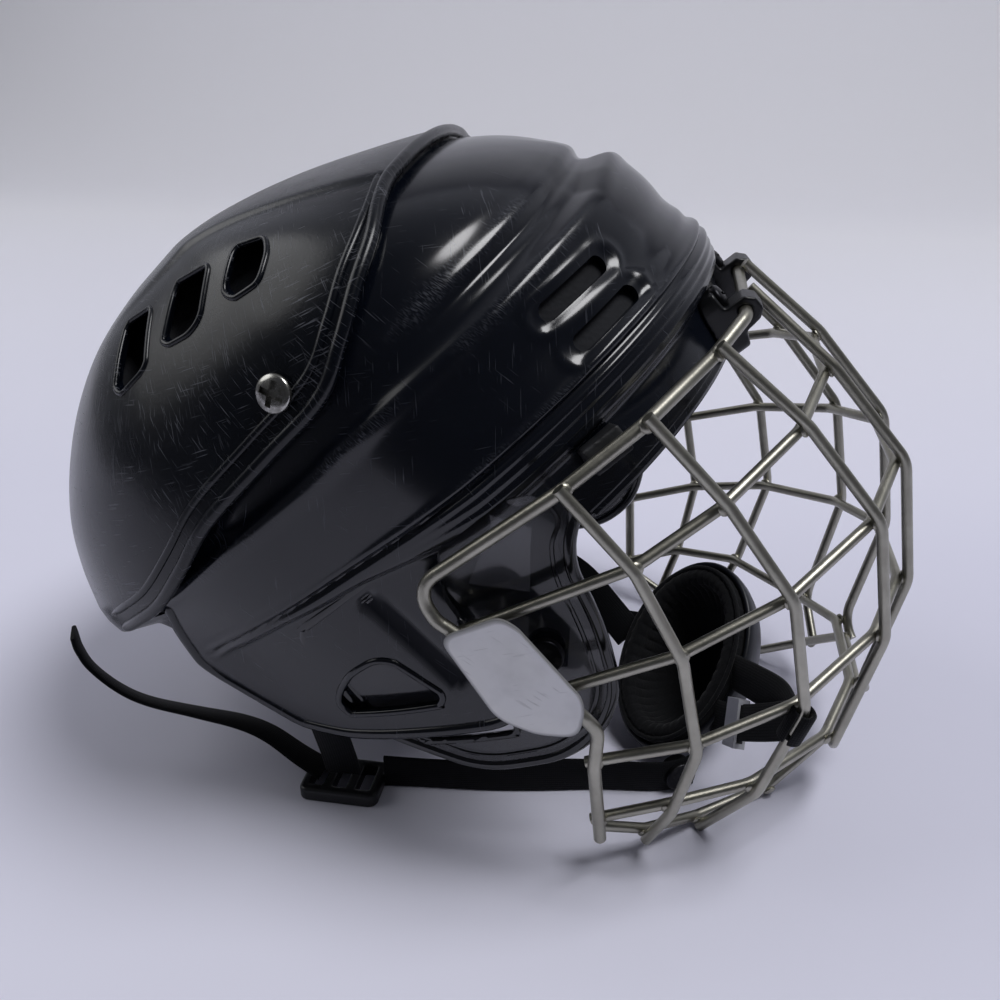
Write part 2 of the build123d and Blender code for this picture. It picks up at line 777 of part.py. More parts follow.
def make_rim():
    """One wire: up the left side frame, along the top rim and down the right side."""
    frame = [joint(share) for share in cage_frame_shares]
    return wire(around(frame + rim_joints()), rim_bend, rim_radius)


def make_bar(index):
    return wire(around(overhang(bar_joints(index))), wire_bend)


def make_bottom():
    return wire(around(bottom_joints()), bottom_bend)


def upright_head(number):
    """Upper end of an upright, on the outside of the top rim. Number 1 is at the nose."""
    lift = Vector(0, 0, rim_radius)
    step = rim_radius + wire_radius
    if number == 1:
        return Vector(hinge_reach + step, nose_upright, -hinge_drop) + lift
    rim = rim_joints()
    column = len(uprights) + 1 - number
    return rim[column] + outward_at(rim, column) * step + lift


def upright_foot(number):
    """Lower end of an upright, on the outside of the bottom rim."""
    bottom = bottom_joints()
    index = foot_joint[number]
    outward = bottom[index] - Vector(0, 0, -cage_drop / 2)
    tangent = (bottom[index] - bottom[index - 1]).normalized()
    outward = (outward - tangent * outward.dot(tangent)).normalized()
    return bottom[index] + outward * 2 * wire_radius


def upright_points(number):
    """Joints of an upright, set outside the bars it crosses."""
    column = len(uprights) + 1 - number
    points = [upright_head(number)]
    rows = [bar_joints(index) for index in range(len(cage_bar_shares))]
    for index, row in enumerate(rows):
        above_row = rows[max(index - 1, 0)]
        below_row = rows[min(index + 1, len(rows) - 1)]
        points.append(row[column] + welded_step(row, above_row, below_row, column))
    return points + [upright_foot(number)]


def make_upright(number):
    return wire(upright_points(number), wire_bend)


# Clips on the forehead and the soft tabs beside them

def hinge_place():
    return Vector(hinge_reach, 0, -hinge_drop)


def clip_screw_place():
    """Middle of the clip screw's seat on the left clip."""
    face = hinge_reach + clip_shares[1][0] * clip_size
    rise = (clip_shares[1][1] + clip_shares[2][1]) / 2 * clip_size
    return Vector(face, clip_inner + clip_width / 2, rise - hinge_drop)


def clip_hole(radius):
    return Plane(origin=clip_screw_place(), z_dir=(1, 0, 0)) * Cylinder(radius, overrun)


def make_clip():
    """Block screwed to the forehead band, with the rim wire through it."""
    outline = [(hinge_reach + s * clip_size, t * clip_size - hinge_drop)
               for s, t in clip_shares]
    block = across(outline, clip_inner, clip_inner + clip_width)
    block = block - front_form(seat_gap)
    bore = Cylinder(rim_radius + clip_clearance, half_width)
    block = block - Plane(origin=hinge_place(), z_dir=(0, 1, 0)) * bore
    return block - clip_hole(clip_shank_radius + clip_shank_gap)


def make_clip_screw():
    head = Pos(0, 0, clip_screw_height / 2) * Cylinder(clip_screw_radius, clip_screw_height)
    head = fillet(head.edges().group_by(Axis.Z)[-1], clip_screw_height / 2)
    shank = Pos(0, 0, -clip_shank_length / 2) * Cylinder(clip_shank_radius, clip_shank_length)
    screw = head + shank
    return Plane(origin=clip_screw_place(), z_dir=(1, 0, 0)) * screw


def make_rim_rest():
    """Soft tab that keeps the top rim off the forehead band."""
    rim = rim_joints()
    along = (rim[2] - rim[1]).normalized()
    outward = Vector(-along.Y, along.X, 0).normalized()
    plane = Plane(origin=rim[2] - along * rest_setback, x_dir=along, z_dir=outward)
    top = -rim_radius - seat_gap
    length = rest_reach + top
    block = Pos(0, 0, top - length / 2) * Box(rest_length, rest_height, length)
    return plane * block - front_form(seat_gap)


# Plates

def plate_plane():
    """Plane on the side frame's wire behind the plate, x along it and z outward."""
    low = joint(cage_frame_shares[3])
    high = joint(cage_frame_shares[4])
    along = (low - high).normalized()
    outward = Vector(0, 1, 0) - along * along.Y
    return Plane(origin=high, x_dir=along, z_dir=outward), (low - high).length


def make_plate():
    """Flat plate with two curls that grip the wire behind it."""
    plane, reach = plate_plane()
    points = [plane.to_local_coords(Vector(s * cage_reach, plane.origin.Y, t * cage_drop))
              for s, t in plate_shares]
    outline = FilletPolyline(*[(p.X, p.Y, 0) for p in points], radius=plate_corner, close=True)
    inner = rim_radius + plate_gap
    slab_plate = Pos(0, 0, inner) * extrude(make_face(outline), amount=plate_thickness)
    for share in hook_shares:
        ring = Rot(0, 90, 0) * Cylinder(inner + plate_thickness, plate_hook)
        slab_plate = slab_plate + Pos(share * reach, 0, 0) * ring
    bore = Rot(0, 90, 0) * Cylinder(inner, 4 * reach)
    return plane * (slab_plate - bore)


# Chin cup, in the rest frame

cup_plane = Plane(origin=cup_place, x_dir=cup_long_axis, z_dir=cup_opening)


def bowl(grow):
    """Full egg form of the cup, grown outwards."""
    return scale(Sphere(1), (cup_half_length + grow, cup_half_width + grow, cup_depth + grow))


def below_rim(shape):
    reach = 4 * cup_half_length
    return shape & Pos(0, 0, -reach / 2) * Box(reach, reach, reach)


def make_chin_cup():
    return cup_plane * (below_rim(bowl(0)) - bowl(-cup_wall))


def make_cup_pad():
    """Padded lining with a round roll along the rim."""
    outer = cup_wall + seat_gap
    lining = below_rim(bowl(-outer)) - bowl(-outer - cup_pad)
    inset = outer + cup_pad / 2 + seat_gap * 2
    path = Pos(0, 0, roll_rise) * Ellipse(cup_half_length - inset, cup_half_width - inset)
    path = path.wire()
    roll = sweep(Plane(origin=path @ 0, z_dir=path % 0) * Circle(cup_roll), path=path)
    return cup_plane * (lining + roll)


def cup_anchor():
    """Place on the right third upright where the cup's straps loop, and its direction."""
    points = [place_point(flip(p)) for p in upright_points(3)]
    low, high = points[4], points[3]
    along = (low - high).normalized()
    return high + along * anchor_drop, along


def make_cup_strap():
    """Two straps from the cup that meet in a loop round the upright."""
    centre, along = cup_anchor()
    straps = [flat_strap(Vector(*start), centre, tuple(along), cup_strap_width)
              for start in cup_strap_starts]
    ring_radius = wire_radius + strap_gap + strap_thickness
    wire_plane = Plane(origin=centre, z_dir=along)
    loop = wire_plane * Cylinder(ring_radius, cup_strap_width)
    whole = straps[0] + straps[1] + loop
    whole = whole - wire_plane * Cylinder(wire_radius + strap_gap, 3 * cup_strap_width)
    return whole - cup_plane * bowl(strap_gap)


def make_cup_slider():
    """Small slider round the lower strap."""
    centre, along = cup_anchor()
    start = Vector(*cup_strap_starts[1])
    run = centre - start
    middle = start + run * slider_share
    plane = strap_plane(start, centre, tuple(along))
    place = Plane(origin=middle, x_dir=plane.x_dir, z_dir=plane.z_dir)
    body = Box(slider_length, slider_width, slider_thickness)
    opening = Box(2 * slider_length, cup_strap_width + strap_gap * 2,
                  strap_thickness + strap_gap * 2)
    return place * (body - opening)


def make_loose_strap():
    """Loose strap behind the cup."""
    strap = flat_strap(Vector(*loose_strap_ends[0]), Vector(*loose_strap_ends[1]),
                       cup_long_axis, cup_strap_width)
    return strap - cup_plane * bowl(strap_gap)


# Placing and writing

def place_rest(shape):
    """Head frame piece turned back and set at its height above the floor."""
    return Pos(0, 0, head_height) * Rot(0, -lean, 0) * shape


def place_point(point):
    """Rest frame place of a head frame point."""
    turn = radians(lean)
    x = point.X * cos(turn) - point.Z * sin(turn)
    z = point.X * sin(turn) + point.Z * cos(turn)
    return Vector(x, point.Y, z + head_height)


def pairs(base, shape):
    return {base + "_" + hand: piece for hand, piece in both(shape).items()}


def shell_pieces():
    """Everything that keeps to the front shell, in the head frame."""
    pieces = {"front_shell": drilled(make_front_shell())}
    pieces.update(make_liners())
    pieces.update(pairs("ear_guard", make_ear_guard()))
    pieces.update(pairs("ear_strap", make_ear_strap()))
    pieces.update(pairs("ear_snap", make_ear_snap()))
    pieces.update(pairs("ear_pad", make_ear_pad()))
    pieces.update(pairs("cage_clip", make_clip()))
    pieces.update(pairs("clip_screw", make_clip_screw()))
    pieces.update(pairs("rim_rest", make_rim_rest()))
    return pieces


def drilled(shell):
    """Front shell with the clip screws' holes."""
    hole = clip_hole(clip_shank_radius + clip_shank_gap)
    return shell - hole - mirrored(hole)


def rear_pieces():
    """Everything that slides with the rear shell, in the head frame."""
    pieces = {"rear_shell": make_rear_shell()}
    pieces.update(pairs("side_screw", make_side_screw()))
    pieces.update(pairs("side_t_nut", make_nut()))
    return pieces


def cage_pieces():
    """Wires and plates of the cage, in the head frame."""
    pieces = {"cage_rim": make_rim(), "cage_bottom": make_bottom()}
    for index in range(len(cage_bar_shares)):
        pieces["cage_bar_" + str(index + 1)] = make_bar(index)
    for number in uprights:
        pieces.update(pairs("cage_upright_" + str(number), make_upright(number)))
    pieces.update(pairs("side_plate", make_plate()))
    return pieces


def strap_pieces():
    """Straps, buckles and the chin cup, in the rest frame."""
    pieces = {"chin_cup": make_chin_cup(), "cup_pad": make_cup_pad()}
    pieces["cup_strap"] = make_cup_strap()
    pieces["cup_slider"] = make_cup_slider()
    pieces["cup_loose_strap"] = make_loose_strap()
    pieces["strap_tail"] = make_strap_tail()
    pieces.update(pairs("chin_strap", make_chin_strap()))
    pieces.update(pairs("chin_snap", make_chin_snap()))
    pieces.update(pairs("strap_buckle", make_buckle()))
    pieces.update(pairs("strap_hanger", make_strap_hanger()))
    return pieces


def all_pieces():
    """Every node in the rest frame, by name."""
    pieces = {}
    for group in (shell_pieces(), rear_pieces(), cage_pieces()):
        for name, shape in group.items():
            pieces[name] = place_rest(shape)
    pieces.update(strap_pieces())
    return pieces


def centring(pieces):
    """Shift that puts the whole helmet's floor centre on the origin."""
    boxes = [shape.bounding_box() for shape in pieces.values()]
    low = [min(tuple(box.min)[axis] for box in boxes) for axis in range(3)]
    high = [max(tuple(box.max)[axis] for box in boxes) for axis in range(3)]
    return Pos(-(low[0] + high[0]) / 2, -(low[1] + high[1]) / 2, -low[2])


def main():
    os.makedirs("parts", exist_ok=True)
    pieces = all_pieces()
    shift = centring(pieces)
    print("shift", shift.position)
    for name, shape in pieces.items():
        placed = shift * shape
        export_step(placed, "parts/" + name + ".step")
        box = placed.bounding_box()
        print(name, len(placed.solids()), round(placed.volume), box.min, box.max)


if __name__ == "__main__":
    main()
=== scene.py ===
import json
import math
import bmesh
import bpy
import numpy as np
from mathutils import Matrix, Vector

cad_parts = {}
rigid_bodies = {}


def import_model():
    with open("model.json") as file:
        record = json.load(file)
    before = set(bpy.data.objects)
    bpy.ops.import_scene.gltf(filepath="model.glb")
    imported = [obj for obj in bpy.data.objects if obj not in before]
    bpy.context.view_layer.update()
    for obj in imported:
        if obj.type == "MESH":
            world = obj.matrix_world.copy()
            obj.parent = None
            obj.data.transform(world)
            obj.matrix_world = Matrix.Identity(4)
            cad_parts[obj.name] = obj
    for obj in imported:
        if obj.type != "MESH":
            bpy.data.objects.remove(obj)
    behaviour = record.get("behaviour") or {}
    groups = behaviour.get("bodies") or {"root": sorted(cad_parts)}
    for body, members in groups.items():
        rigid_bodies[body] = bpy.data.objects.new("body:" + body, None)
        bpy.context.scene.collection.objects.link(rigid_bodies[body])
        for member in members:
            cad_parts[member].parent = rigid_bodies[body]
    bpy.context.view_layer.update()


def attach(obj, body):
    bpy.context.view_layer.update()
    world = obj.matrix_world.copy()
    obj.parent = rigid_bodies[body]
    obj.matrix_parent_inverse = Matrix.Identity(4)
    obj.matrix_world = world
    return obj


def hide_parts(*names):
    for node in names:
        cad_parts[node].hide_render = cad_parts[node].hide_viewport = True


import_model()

# Ice hockey helmet with a wire face cage. Lengths are in millimetres until place() and
# floor_place() turn them to metres in the part's frame. The head frame is (s, y, t):
# forward along the brim, to the wearer's left, and up, from the middle of the head.

NODES = {made.name for made in bpy.data.objects if made.type == "MESH"}
MM = 0.001
LEAN = math.radians(42.0)
HEAD = (1.557, 0.0, 124.589)      # head centre in the part's frame
FLOOR = (1.557, 0.0, -0.261)      # floor frame's origin in the part's frame


def place(s, y, t):
    """Head frame millimetres to part frame metres; works on arrays too."""
    x = s * math.cos(LEAN) - t * math.sin(LEAN) + HEAD[0]
    z = s * math.sin(LEAN) + t * math.cos(LEAN) + HEAD[2]
    return np.stack(np.broadcast_arrays(x, y + 0.0 * x, z), -1) * MM


def metres(points):
    """Head frame points in one array to part frame metres."""
    return place(points[..., 0], points[..., 1], points[..., 2])


def floor_place(points):
    """Floor frame millimetres, in which the straps lie, to part frame metres."""
    return (np.asarray(points, float) + FLOOR) * MM


# Camera: a phone held above the near side

FOCAL_PIXELS = 1000.0
PICTURE_PIXELS = 1000.0
VANISH = (192.0, -480.0)          # where square-on lines meet, right of and below the centre
CAMERA_PLACE = (0.06166, -0.326, 0.24469)
SENSOR = 36.0


def stand(name, data):
    """New object in the scene."""
    made = bpy.data.objects.new(name, data)
    bpy.context.scene.collection.objects.link(made)
    return made


def make_camera():
    """Camera that looks where the square-on lines say, held upright."""
    into = Vector((VANISH[0], VANISH[1], FOCAL_PIXELS)).normalized()
    rise = math.atan2(-into.y, into.z)
    up = Vector((0.0, -math.cos(rise), -math.sin(rise)))
    along = into.cross(up)
    right, down, ahead = (Vector(row) for row in zip(along, into, up))
    turn = Matrix((right, -down, -ahead)).transposed().to_4x4()
    data = bpy.data.cameras.new("camera")
    data.sensor_width = SENSOR
    data.lens = SENSOR * FOCAL_PIXELS / PICTURE_PIXELS
    data.clip_start = 0.01
    camera = stand("camera", data)
    camera.matrix_world = Matrix.Translation(CAMERA_PLACE) @ turn
    bpy.context.scene.camera = camera


make_camera()


# Materials

MATH, MIX, NOISE = "ShaderNodeMath", "ShaderNodeMix", "ShaderNodeTexNoise"
RAMP, SPOT, WAVE = "ShaderNodeValToRGB", "ShaderNodeTexCoord", "ShaderNodeTexWave"
VECTOR, MAPPING, TAGGED = "ShaderNodeVectorMath", "ShaderNodeMapping", "ShaderNodeAttribute"


def colour(code):
    """sRGB hex to a linear colour."""
    out = []
    for i in (0, 2, 4):
        v = int(code[i:i + 2], 16) / 255
        out.append(v / 12.92 if v <= 0.04045 else ((v + 0.055) / 1.055) ** 2.4)
    return (*out, 1.0)


def feed(node, inputs):
    """Sets a node's inputs, or links them where the value is a node or a socket."""
    for key, value in inputs.items():
        if isinstance(value, bpy.types.Node):
            value = next(way for way in value.outputs if way.enabled)
        if isinstance(value, bpy.types.NodeSocket):
            node.id_data.links.new(value, node.inputs[key])
        else:
            node.inputs[key].default_value = value


def add(tree, kind, inputs=None, stops=(), **settings):
    """One node with its settings, values, links and colour stops."""
    made = tree.nodes.new(kind)
    for key, value in settings.items():
        setattr(made, key, value)
    feed(made, inputs or {})
    for _ in stops[2:]:
        made.color_ramp.elements.new(0.5)
    for element, (at, level) in zip(made.color_ramp.elements if stops else (), stops):
        element.position = at
        element.color = (level, level, level, 1)
    return made


def new_material(name, **shader):
    """Material with a Principled shader; keywords set its sockets, _ for a space."""
    made = bpy.data.materials.new(name)
    made.use_nodes = True
    body = made.node_tree.nodes["Principled BSDF"]
    feed(body, {key.replace("_", " "): value for key, value in shader.items()})
    return made, made.node_tree, body


def coat(body, share, low, high, relief=(), **shader):
    """Two sRGB colours mixed by a share, and relief as height, metres and strength."""
    tree = body.id_data
    inputs = {key.replace("_", " "): value for key, value in shader.items()}
    inputs["Base Color"] = add(tree, MIX, {0: share, 6: colour(low), 7: colour(high)},
                               data_type="RGBA")
    if relief:
        inputs["Normal"] = add(tree, "ShaderNodeBump", dict(zip(
            ("Height", "Distance", "Strength"), relief)))
    feed(body, inputs)


def patches(tree, scale, low, high):
    """Soft blotches that say where wear sits, scale in blotches per metre."""
    blot = add(tree, NOISE, {"Vector": add(tree, SPOT).outputs["Object"], "Scale": scale,
                             "Detail": 3.0, "Roughness": 0.6})
    return add(tree, RAMP, {"Fac": blot}, [(low, 0.0), (high, 1.0)])


def skin_coords(tree):
    """Two lengths over a shell's surface, in metres, from angles about the head's middle."""
    moved = add(tree, VECTOR, {0: add(tree, SPOT).outputs["Object"],
                               1: [-v * MM for v in HEAD]}, operation="ADD")
    level = add(tree, MAPPING, {"Vector": moved, "Rotation": (0.0, LEAN, 0.0)})
    axes = add(tree, "ShaderNodeSeparateXYZ", {0: level}).outputs
    reach = add(tree, VECTOR, {0: level}, operation="LENGTH")
    slope = add(tree, MATH, {0: axes["Z"], 1: reach}, operation="DIVIDE")
    angles = (add(tree, MATH, {0: axes["Y"], 1: axes["X"]}, operation="ARCTAN2"),
              add(tree, MATH, {0: slope}, operation="ARCSINE"))
    around, rise = (add(tree, MATH, {0: angle, 1: SKIN_RADIUS}, operation="MULTIPLY")
                    for angle in angles)
    return add(tree, "ShaderNodeCombineXYZ", {"X": around, "Y": rise})


def streaks(tree, skin, turn, fine, length, low, high, seed):
    """Short fine lines over the surface: fine is lines per metre, length their reach."""
    turned = add(tree, MAPPING, {"Vector": skin, "Rotation": (0, 0, turn),
                                 "Location": (0, 0, seed)})
    laid = add(tree, MAPPING, {"Vector": turned, "Scale": (1 / length, fine, 1.0)})
    drawn = add(tree, NOISE, {"Vector": laid, "Scale": 1.0, "Detail": 1.0, "Roughness": 0.4})
    return add(tree, RAMP, {"Fac": drawn}, [(low, 0.0), (high, 1.0)])


def scratch_field(tree, turns, fine, length, low, blots):
    """Fine scratches in several directions, each broken up by its own blotches."""
    skin = skin_coords(tree)
    total = None
    for index, turn in enumerate(turns):
        line = add(tree, MATH, {
            0: streaks(tree, skin, turn, fine, length, low, low + SCRATCH_EDGE,
                       SCRATCH_SHIFT * index),
            1: patches(tree, blots + BLOT_STEP * index, 0.47, 0.62)}, operation="MULTIPLY")
        total = line if total is None else add(tree, MATH, {0: total, 1: line},
                                               operation="MAXIMUM")
    return total


SKIN_RADIUS = 0.11                # metres from the head's middle to a shell
SCRATCH_EDGE = 0.06               # how softly a scratch ends
SCRATCH_SHIFT = 3.7               # keeps the directions' patterns apart
BLOT_STEP = 19.0


def gloss_abs():
    """Glossy injection-moulded ABS, blue-black: hard mirror lights, scuffed ridges."""
    made, tree, body = new_material("gloss_abs_shell", IOR=1.54)
    worn = scratch_field(tree, (0.5, 1.4, 2.3), 2200.0, 0.011, 0.69, 30.0)
    scuff = add(tree, TAGGED, attribute_name="scuff").outputs["Fac"]
    matt = add(tree, TAGGED, attribute_name="matt").outputs["Fac"]
    rubbed = scuff
    for share in (streaks(tree, skin_coords(tree), math.radians(75), 3000.0, 0.002, 0.46, 0.7,
                          9.0), patches(tree, 45.0, 0.38, 0.62), 0.4):
        rubbed = add(tree, MATH, {0: rubbed, 1: share}, operation="MULTIPLY")
    faint = add(tree, MATH, {0: worn, 1: 0.22}, operation="MULTIPLY")
    marks = add(tree, MATH, {0: faint, 1: rubbed}, operation="MAXIMUM")
    rough = 0.15
    for value, factor in ((patches(tree, 14.0, 0.35, 0.8), 0.08), (marks, 0.4), (matt, 0.4)):
        rough = add(tree, MATH, {0: value, 1: factor, 2: rough}, operation="MULTIPLY_ADD")
    ripple = add(tree, NOISE, {"Vector": add(tree, SPOT).outputs["Object"], "Scale": 40.0,
                               "Detail": 2.0})
    coat(body, marks, "080c15", "7d808a", (ripple, 0.0004, 0.2), Roughness=rough,
         Specular_IOR_Level=add(tree, RAMP, {"Fac": matt}, [(0.0, 0.5), (1.0, 0.12)]))
    return made


def satin_abs():
    """Satin moulded ABS, worn by years of use: broad soft lights, many fine pale scratches."""
    made, tree, body = new_material("satin_abs_shell", IOR=1.5, Specular_IOR_Level=0.38)
    worn = add(tree, MATH, {0: scratch_field(tree, (1.3, 1.8, 0.2), 2300.0, 0.008, 0.655,
                                             24.0), 1: 0.34}, operation="MULTIPLY")
    rough = 0.22
    for value, factor in ((patches(tree, 22.0, 0.3, 0.75), 0.1), (worn, 0.5)):
        rough = add(tree, MATH, {0: value, 1: factor, 2: rough}, operation="MULTIPLY_ADD")
    grain = add(tree, NOISE, {"Vector": add(tree, SPOT).outputs["Object"], "Scale": 900.0,
                              "Detail": 2.0})
    coat(body, worn, "060a12", "8d909a", (grain, 0.00006, 0.3), Roughness=rough)
    return made


def plain_abs(name, code, rough):
    """Moulded plastic with a light spark-eroded grain and faint cloudy handling marks."""
    made, tree, body = new_material(name, Roughness=rough, IOR=1.5)
    grain = add(tree, NOISE, {"Vector": add(tree, SPOT).outputs["Object"], "Scale": 700.0,
                              "Detail": 3.0})
    cloud = add(tree, MATH, {0: patches(tree, 60.0, 0.3, 0.8), 1: 0.25}, operation="MULTIPLY")
    coat(body, cloud, code, "26282d", (grain, 0.00012, 0.5))
    return made


def smoked_plastic():
    """Smoked polycarbonate sheet: see-through grey with clear lights on its moulded rim."""
    made, tree, body = new_material("smoked_polycarbonate", IOR=1.58, Alpha=0.8,
                                    Coat_Weight=0.3)
    cloud = patches(tree, 30.0, 0.3, 0.8)
    rough = add(tree, MATH, {0: cloud, 1: 0.12, 2: 0.1}, operation="MULTIPLY_ADD")
    coat(body, cloud, "14161c", "1e2129", Roughness=rough)
    return made


def blotched(name, blots, dark, pale, **shader):
    """Plain finish of two close tones; blots are scale, first and last level."""
    made, tree, body = new_material(name, **shader)
    coat(body, patches(tree, *blots), dark, pale)
    return made


def bright_screw():
    """Zinc-plated steel screw head: bright metal, dulled in spots."""
    made, tree, body = new_material("zinc_plated_screw", Metallic=1.0)
    spot = patches(tree, 260.0, 0.45, 0.7)
    rough = add(tree, MATH, {0: spot, 1: 0.3, 2: 0.2}, operation="MULTIPLY_ADD")
    coat(body, spot, "b4b3ae", "55544f", Roughness=rough)
    return made


def satin_steel():
    """Nickel-plated steel wire, tumbled dull: warm grey, soft long lights, fine grain."""
    made, tree, body = new_material("satin_plated_steel", Metallic=1.0)
    grain = add(tree, NOISE, {"Vector": add(tree, SPOT).outputs["Object"], "Scale": 1400.0,
                              "Detail": 3.0})
    rough = add(tree, MATH, {0: grain, 1: 0.2, 2: 0.27}, operation="MULTIPLY_ADD")
    coat(body, patches(tree, 70.0, 0.3, 0.75), "97958a", "b2b0a4", (grain, 0.00006, 0.5),
         Roughness=rough)
    return made


def painted_plate():
    """White-painted aluminium sheet with handling marks and a grey rubbed edge."""
    made, tree, body = new_material("white_painted_sheet", Roughness=0.4, IOR=1.45)
    marks = add(tree, TAGGED, attribute_name="edge").outputs["Fac"]
    for kind, share in ((scratch_field(tree, (0.4, 1.3), 1200.0, 0.01, 0.66, 60.0), 0.35),
                        (patches(tree, 90.0, 0.45, 0.8), 0.18)):
        mark = add(tree, MATH, {0: kind, 1: share}, operation="MULTIPLY")
        marks = add(tree, MATH, {0: marks, 1: mark}, operation="MAXIMUM")
    coat(body, marks, "f2f2f3", "8b8b8c")
    return made


def webbing():
    """Woven polyester webbing, black: ribs under 1 mm apart that read as a soft sheen."""
    made, tree, body = new_material("polyester_webbing", Roughness=0.75, Sheen_Weight=0.06,
                                    Specular_IOR_Level=0.12)
    flat = add(tree, "ShaderNodeUVMap", uv_map="UVMap")
    weave = add(tree, WAVE, {"Vector": flat, "Scale": 0.45, "Distortion": 1.2, "Detail": 2.0,
                             "Detail Scale": 6.0}, bands_direction="X")
    ribs = add(tree, WAVE, {"Vector": flat, "Scale": 0.35, "Distortion": 0.6},
               bands_direction="Y")
    cloth = add(tree, MATH, {0: weave.outputs["Fac"], 1: ribs.outputs["Fac"]},
                operation="MULTIPLY")
    coat(body, cloth, "040508", "0f1116", (cloth, 0.0002, 0.5))
    return made


def knit_cloth():
    """Brushed knit over foam: matt black with a faint pile and 0.9 mm stitch grain."""
    made, tree, body = new_material("brushed_knit", Roughness=0.85, Sheen_Weight=0.1,
                                    Specular_IOR_Level=0.25)
    spot = add(tree, SPOT).outputs["Object"]
    stitch = add(tree, "ShaderNodeTexVoronoi", {"Vector": spot, "Scale": 1150.0})
    pile = add(tree, NOISE, {"Vector": spot, "Scale": 260.0, "Detail": 4.0})
    tone = add(tree, MATH, {0: stitch, 1: pile}, operation="MULTIPLY")
    coat(body, tone, "030407", "101116", (stitch, 0.0002, 0.6))
    return made


def closed_foam():
    """Closed-cell EVA foam, charcoal: matt, pitted at about 1.5 mm, slightly uneven."""
    made, tree, body = new_material("closed_cell_foam", Roughness=0.8, Specular_IOR_Level=0.3)
    pits = add(tree, "ShaderNodeTexVoronoi", {"Vector": add(tree, SPOT).outputs["Object"],
                                              "Scale": 650.0})
    coat(body, patches(tree, 40.0, 0.3, 0.8), "101116", "1d1f25", (pits, 0.00025, 0.5))
    return made


GLOSS = gloss_abs()
SATIN = satin_abs()
SMOKED = smoked_plastic()
# Thick moulded edge of the smoked sheet, too deep to see through
SMOKED_EDGE = blotched("smoked_polycarbonate_edge", (40.0, 0.3, 0.8), "08090d", "11131a",
                       Roughness=0.14, IOR=1.58)
ZINC = bright_screw()
STEEL = satin_steel()
# Blackened steel screw: soft dark metal with bare rubbed edges
DARK = blotched("blackened_steel", (160.0, 0.5, 0.8), "1e1e22", "4a4a4c", Metallic=0.9,
                Roughness=0.34)
WHITE = painted_plate()
WEB = webbing()
KNIT = knit_cloth()
FOAM = closed_foam()
# Moulded soft PVC: black, low sheen, slightly dusty
RUBBER = blotched("soft_pvc", (120.0, 0.4, 0.85), "0e0f12", "2a2b2f", Roughness=0.55, IOR=1.5)
CLIP = plain_abs("moulded_nylon_clip", "0d0e11", 0.38)
CUP = plain_abs("moulded_pe_cup", "16181f", 0.42)
BUCKLE = plain_abs("moulded_acetal_buckle", "0f1013", 0.35)
SLIDER = plain_abs("moulded_acetal_slider", "c9cad0", 0.35)


# Mesh helpers

def new_object(name, vertices, faces, material, smooth=40.0, uv=None):
    """Mesh object at the origin from metre points, smooth up to an angle."""
    mesh = bpy.data.meshes.new(name)
    mesh.from_pydata([tuple(map(float, v)) for v in vertices], [], faces)
    mesh.materials.append(material)
    if uv is not None:
        layer = mesh.uv_layers.new(name="UVMap")
        for loop in mesh.loops:
            layer.data[loop.index].uv = uv[loop.vertex_index]
    finish_mesh(mesh, smooth)
    return stand(name, mesh)


def finish_mesh(mesh, smooth=40.0):
    """Smooth shading up to an angle in degrees."""
    mesh.polygons.foreach_set("use_smooth", [True] * len(mesh.polygons))
    mesh.set_sharp_from_angle(angle=math.radians(smooth))
    mesh.update()


def outward(made, merge=True):
    """Makes a closed mesh's faces point outwards."""
    work = bmesh.new()
    work.from_mesh(made.data)
    if merge:
        bmesh.ops.remove_doubles(work, verts=work.verts, dist=1e-7)
    bmesh.ops.recalc_face_normals(work, faces=work.faces)
    work.to_mesh(made.data)
    work.free()
    return made


def grid_faces(rows, columns, start=0, closed=True, flip=False):
    """Quads of a grid of points, closed round the columns."""
    faces = []
    count = columns if closed else columns - 1
    for r in range(rows - 1):
        for c in range(count):
            a = start + r * columns + c
            b = start + r * columns + (c + 1) % columns
            quad = (a, b, b + columns, a + columns)
            faces.append(quad[::-1] if flip else quad)
    return faces


def tube_faces(rows, sides):
    """Quads round a run of rings, with both ends shut."""
    return grid_faces(rows, sides) + [
        tuple(range(sides))[::-1], tuple((rows - 1) * sides + c for c in range(sides))]


def block(low, high, material=GLOSS):
    """Closed cutter between two outlines of metre points; the cut faces take its material."""
    n = len(low)
    faces = [(i, (i + 1) % n, n + (i + 1) % n, n + i) for i in range(n)]
    faces += [tuple(range(n))[::-1], tuple(range(n, 2 * n))]
    return outward(new_object("cutter", np.vstack([low, high]), faces, material))


def mesh_points(mesh):
    """A mesh's points, one row each."""
    flat = np.empty(len(mesh.vertices) * 3)
    mesh.vertices.foreach_get("co", flat)
    return flat.reshape(-1, 3)


def unit(v):
    """Vectors brought to length one."""
    v = np.asarray(v, float)
    return v / (np.linalg.norm(v) if v.ndim == 1 else np.linalg.norm(v, axis=-1)[..., None])


def settle(made):
    """Makes an object's modifiers final."""
    graph = bpy.context.evaluated_depsgraph_get()
    mesh = bpy.data.meshes.new_from_object(made.evaluated_get(graph))
    made.modifiers.clear()
    made.data = mesh
    return mesh


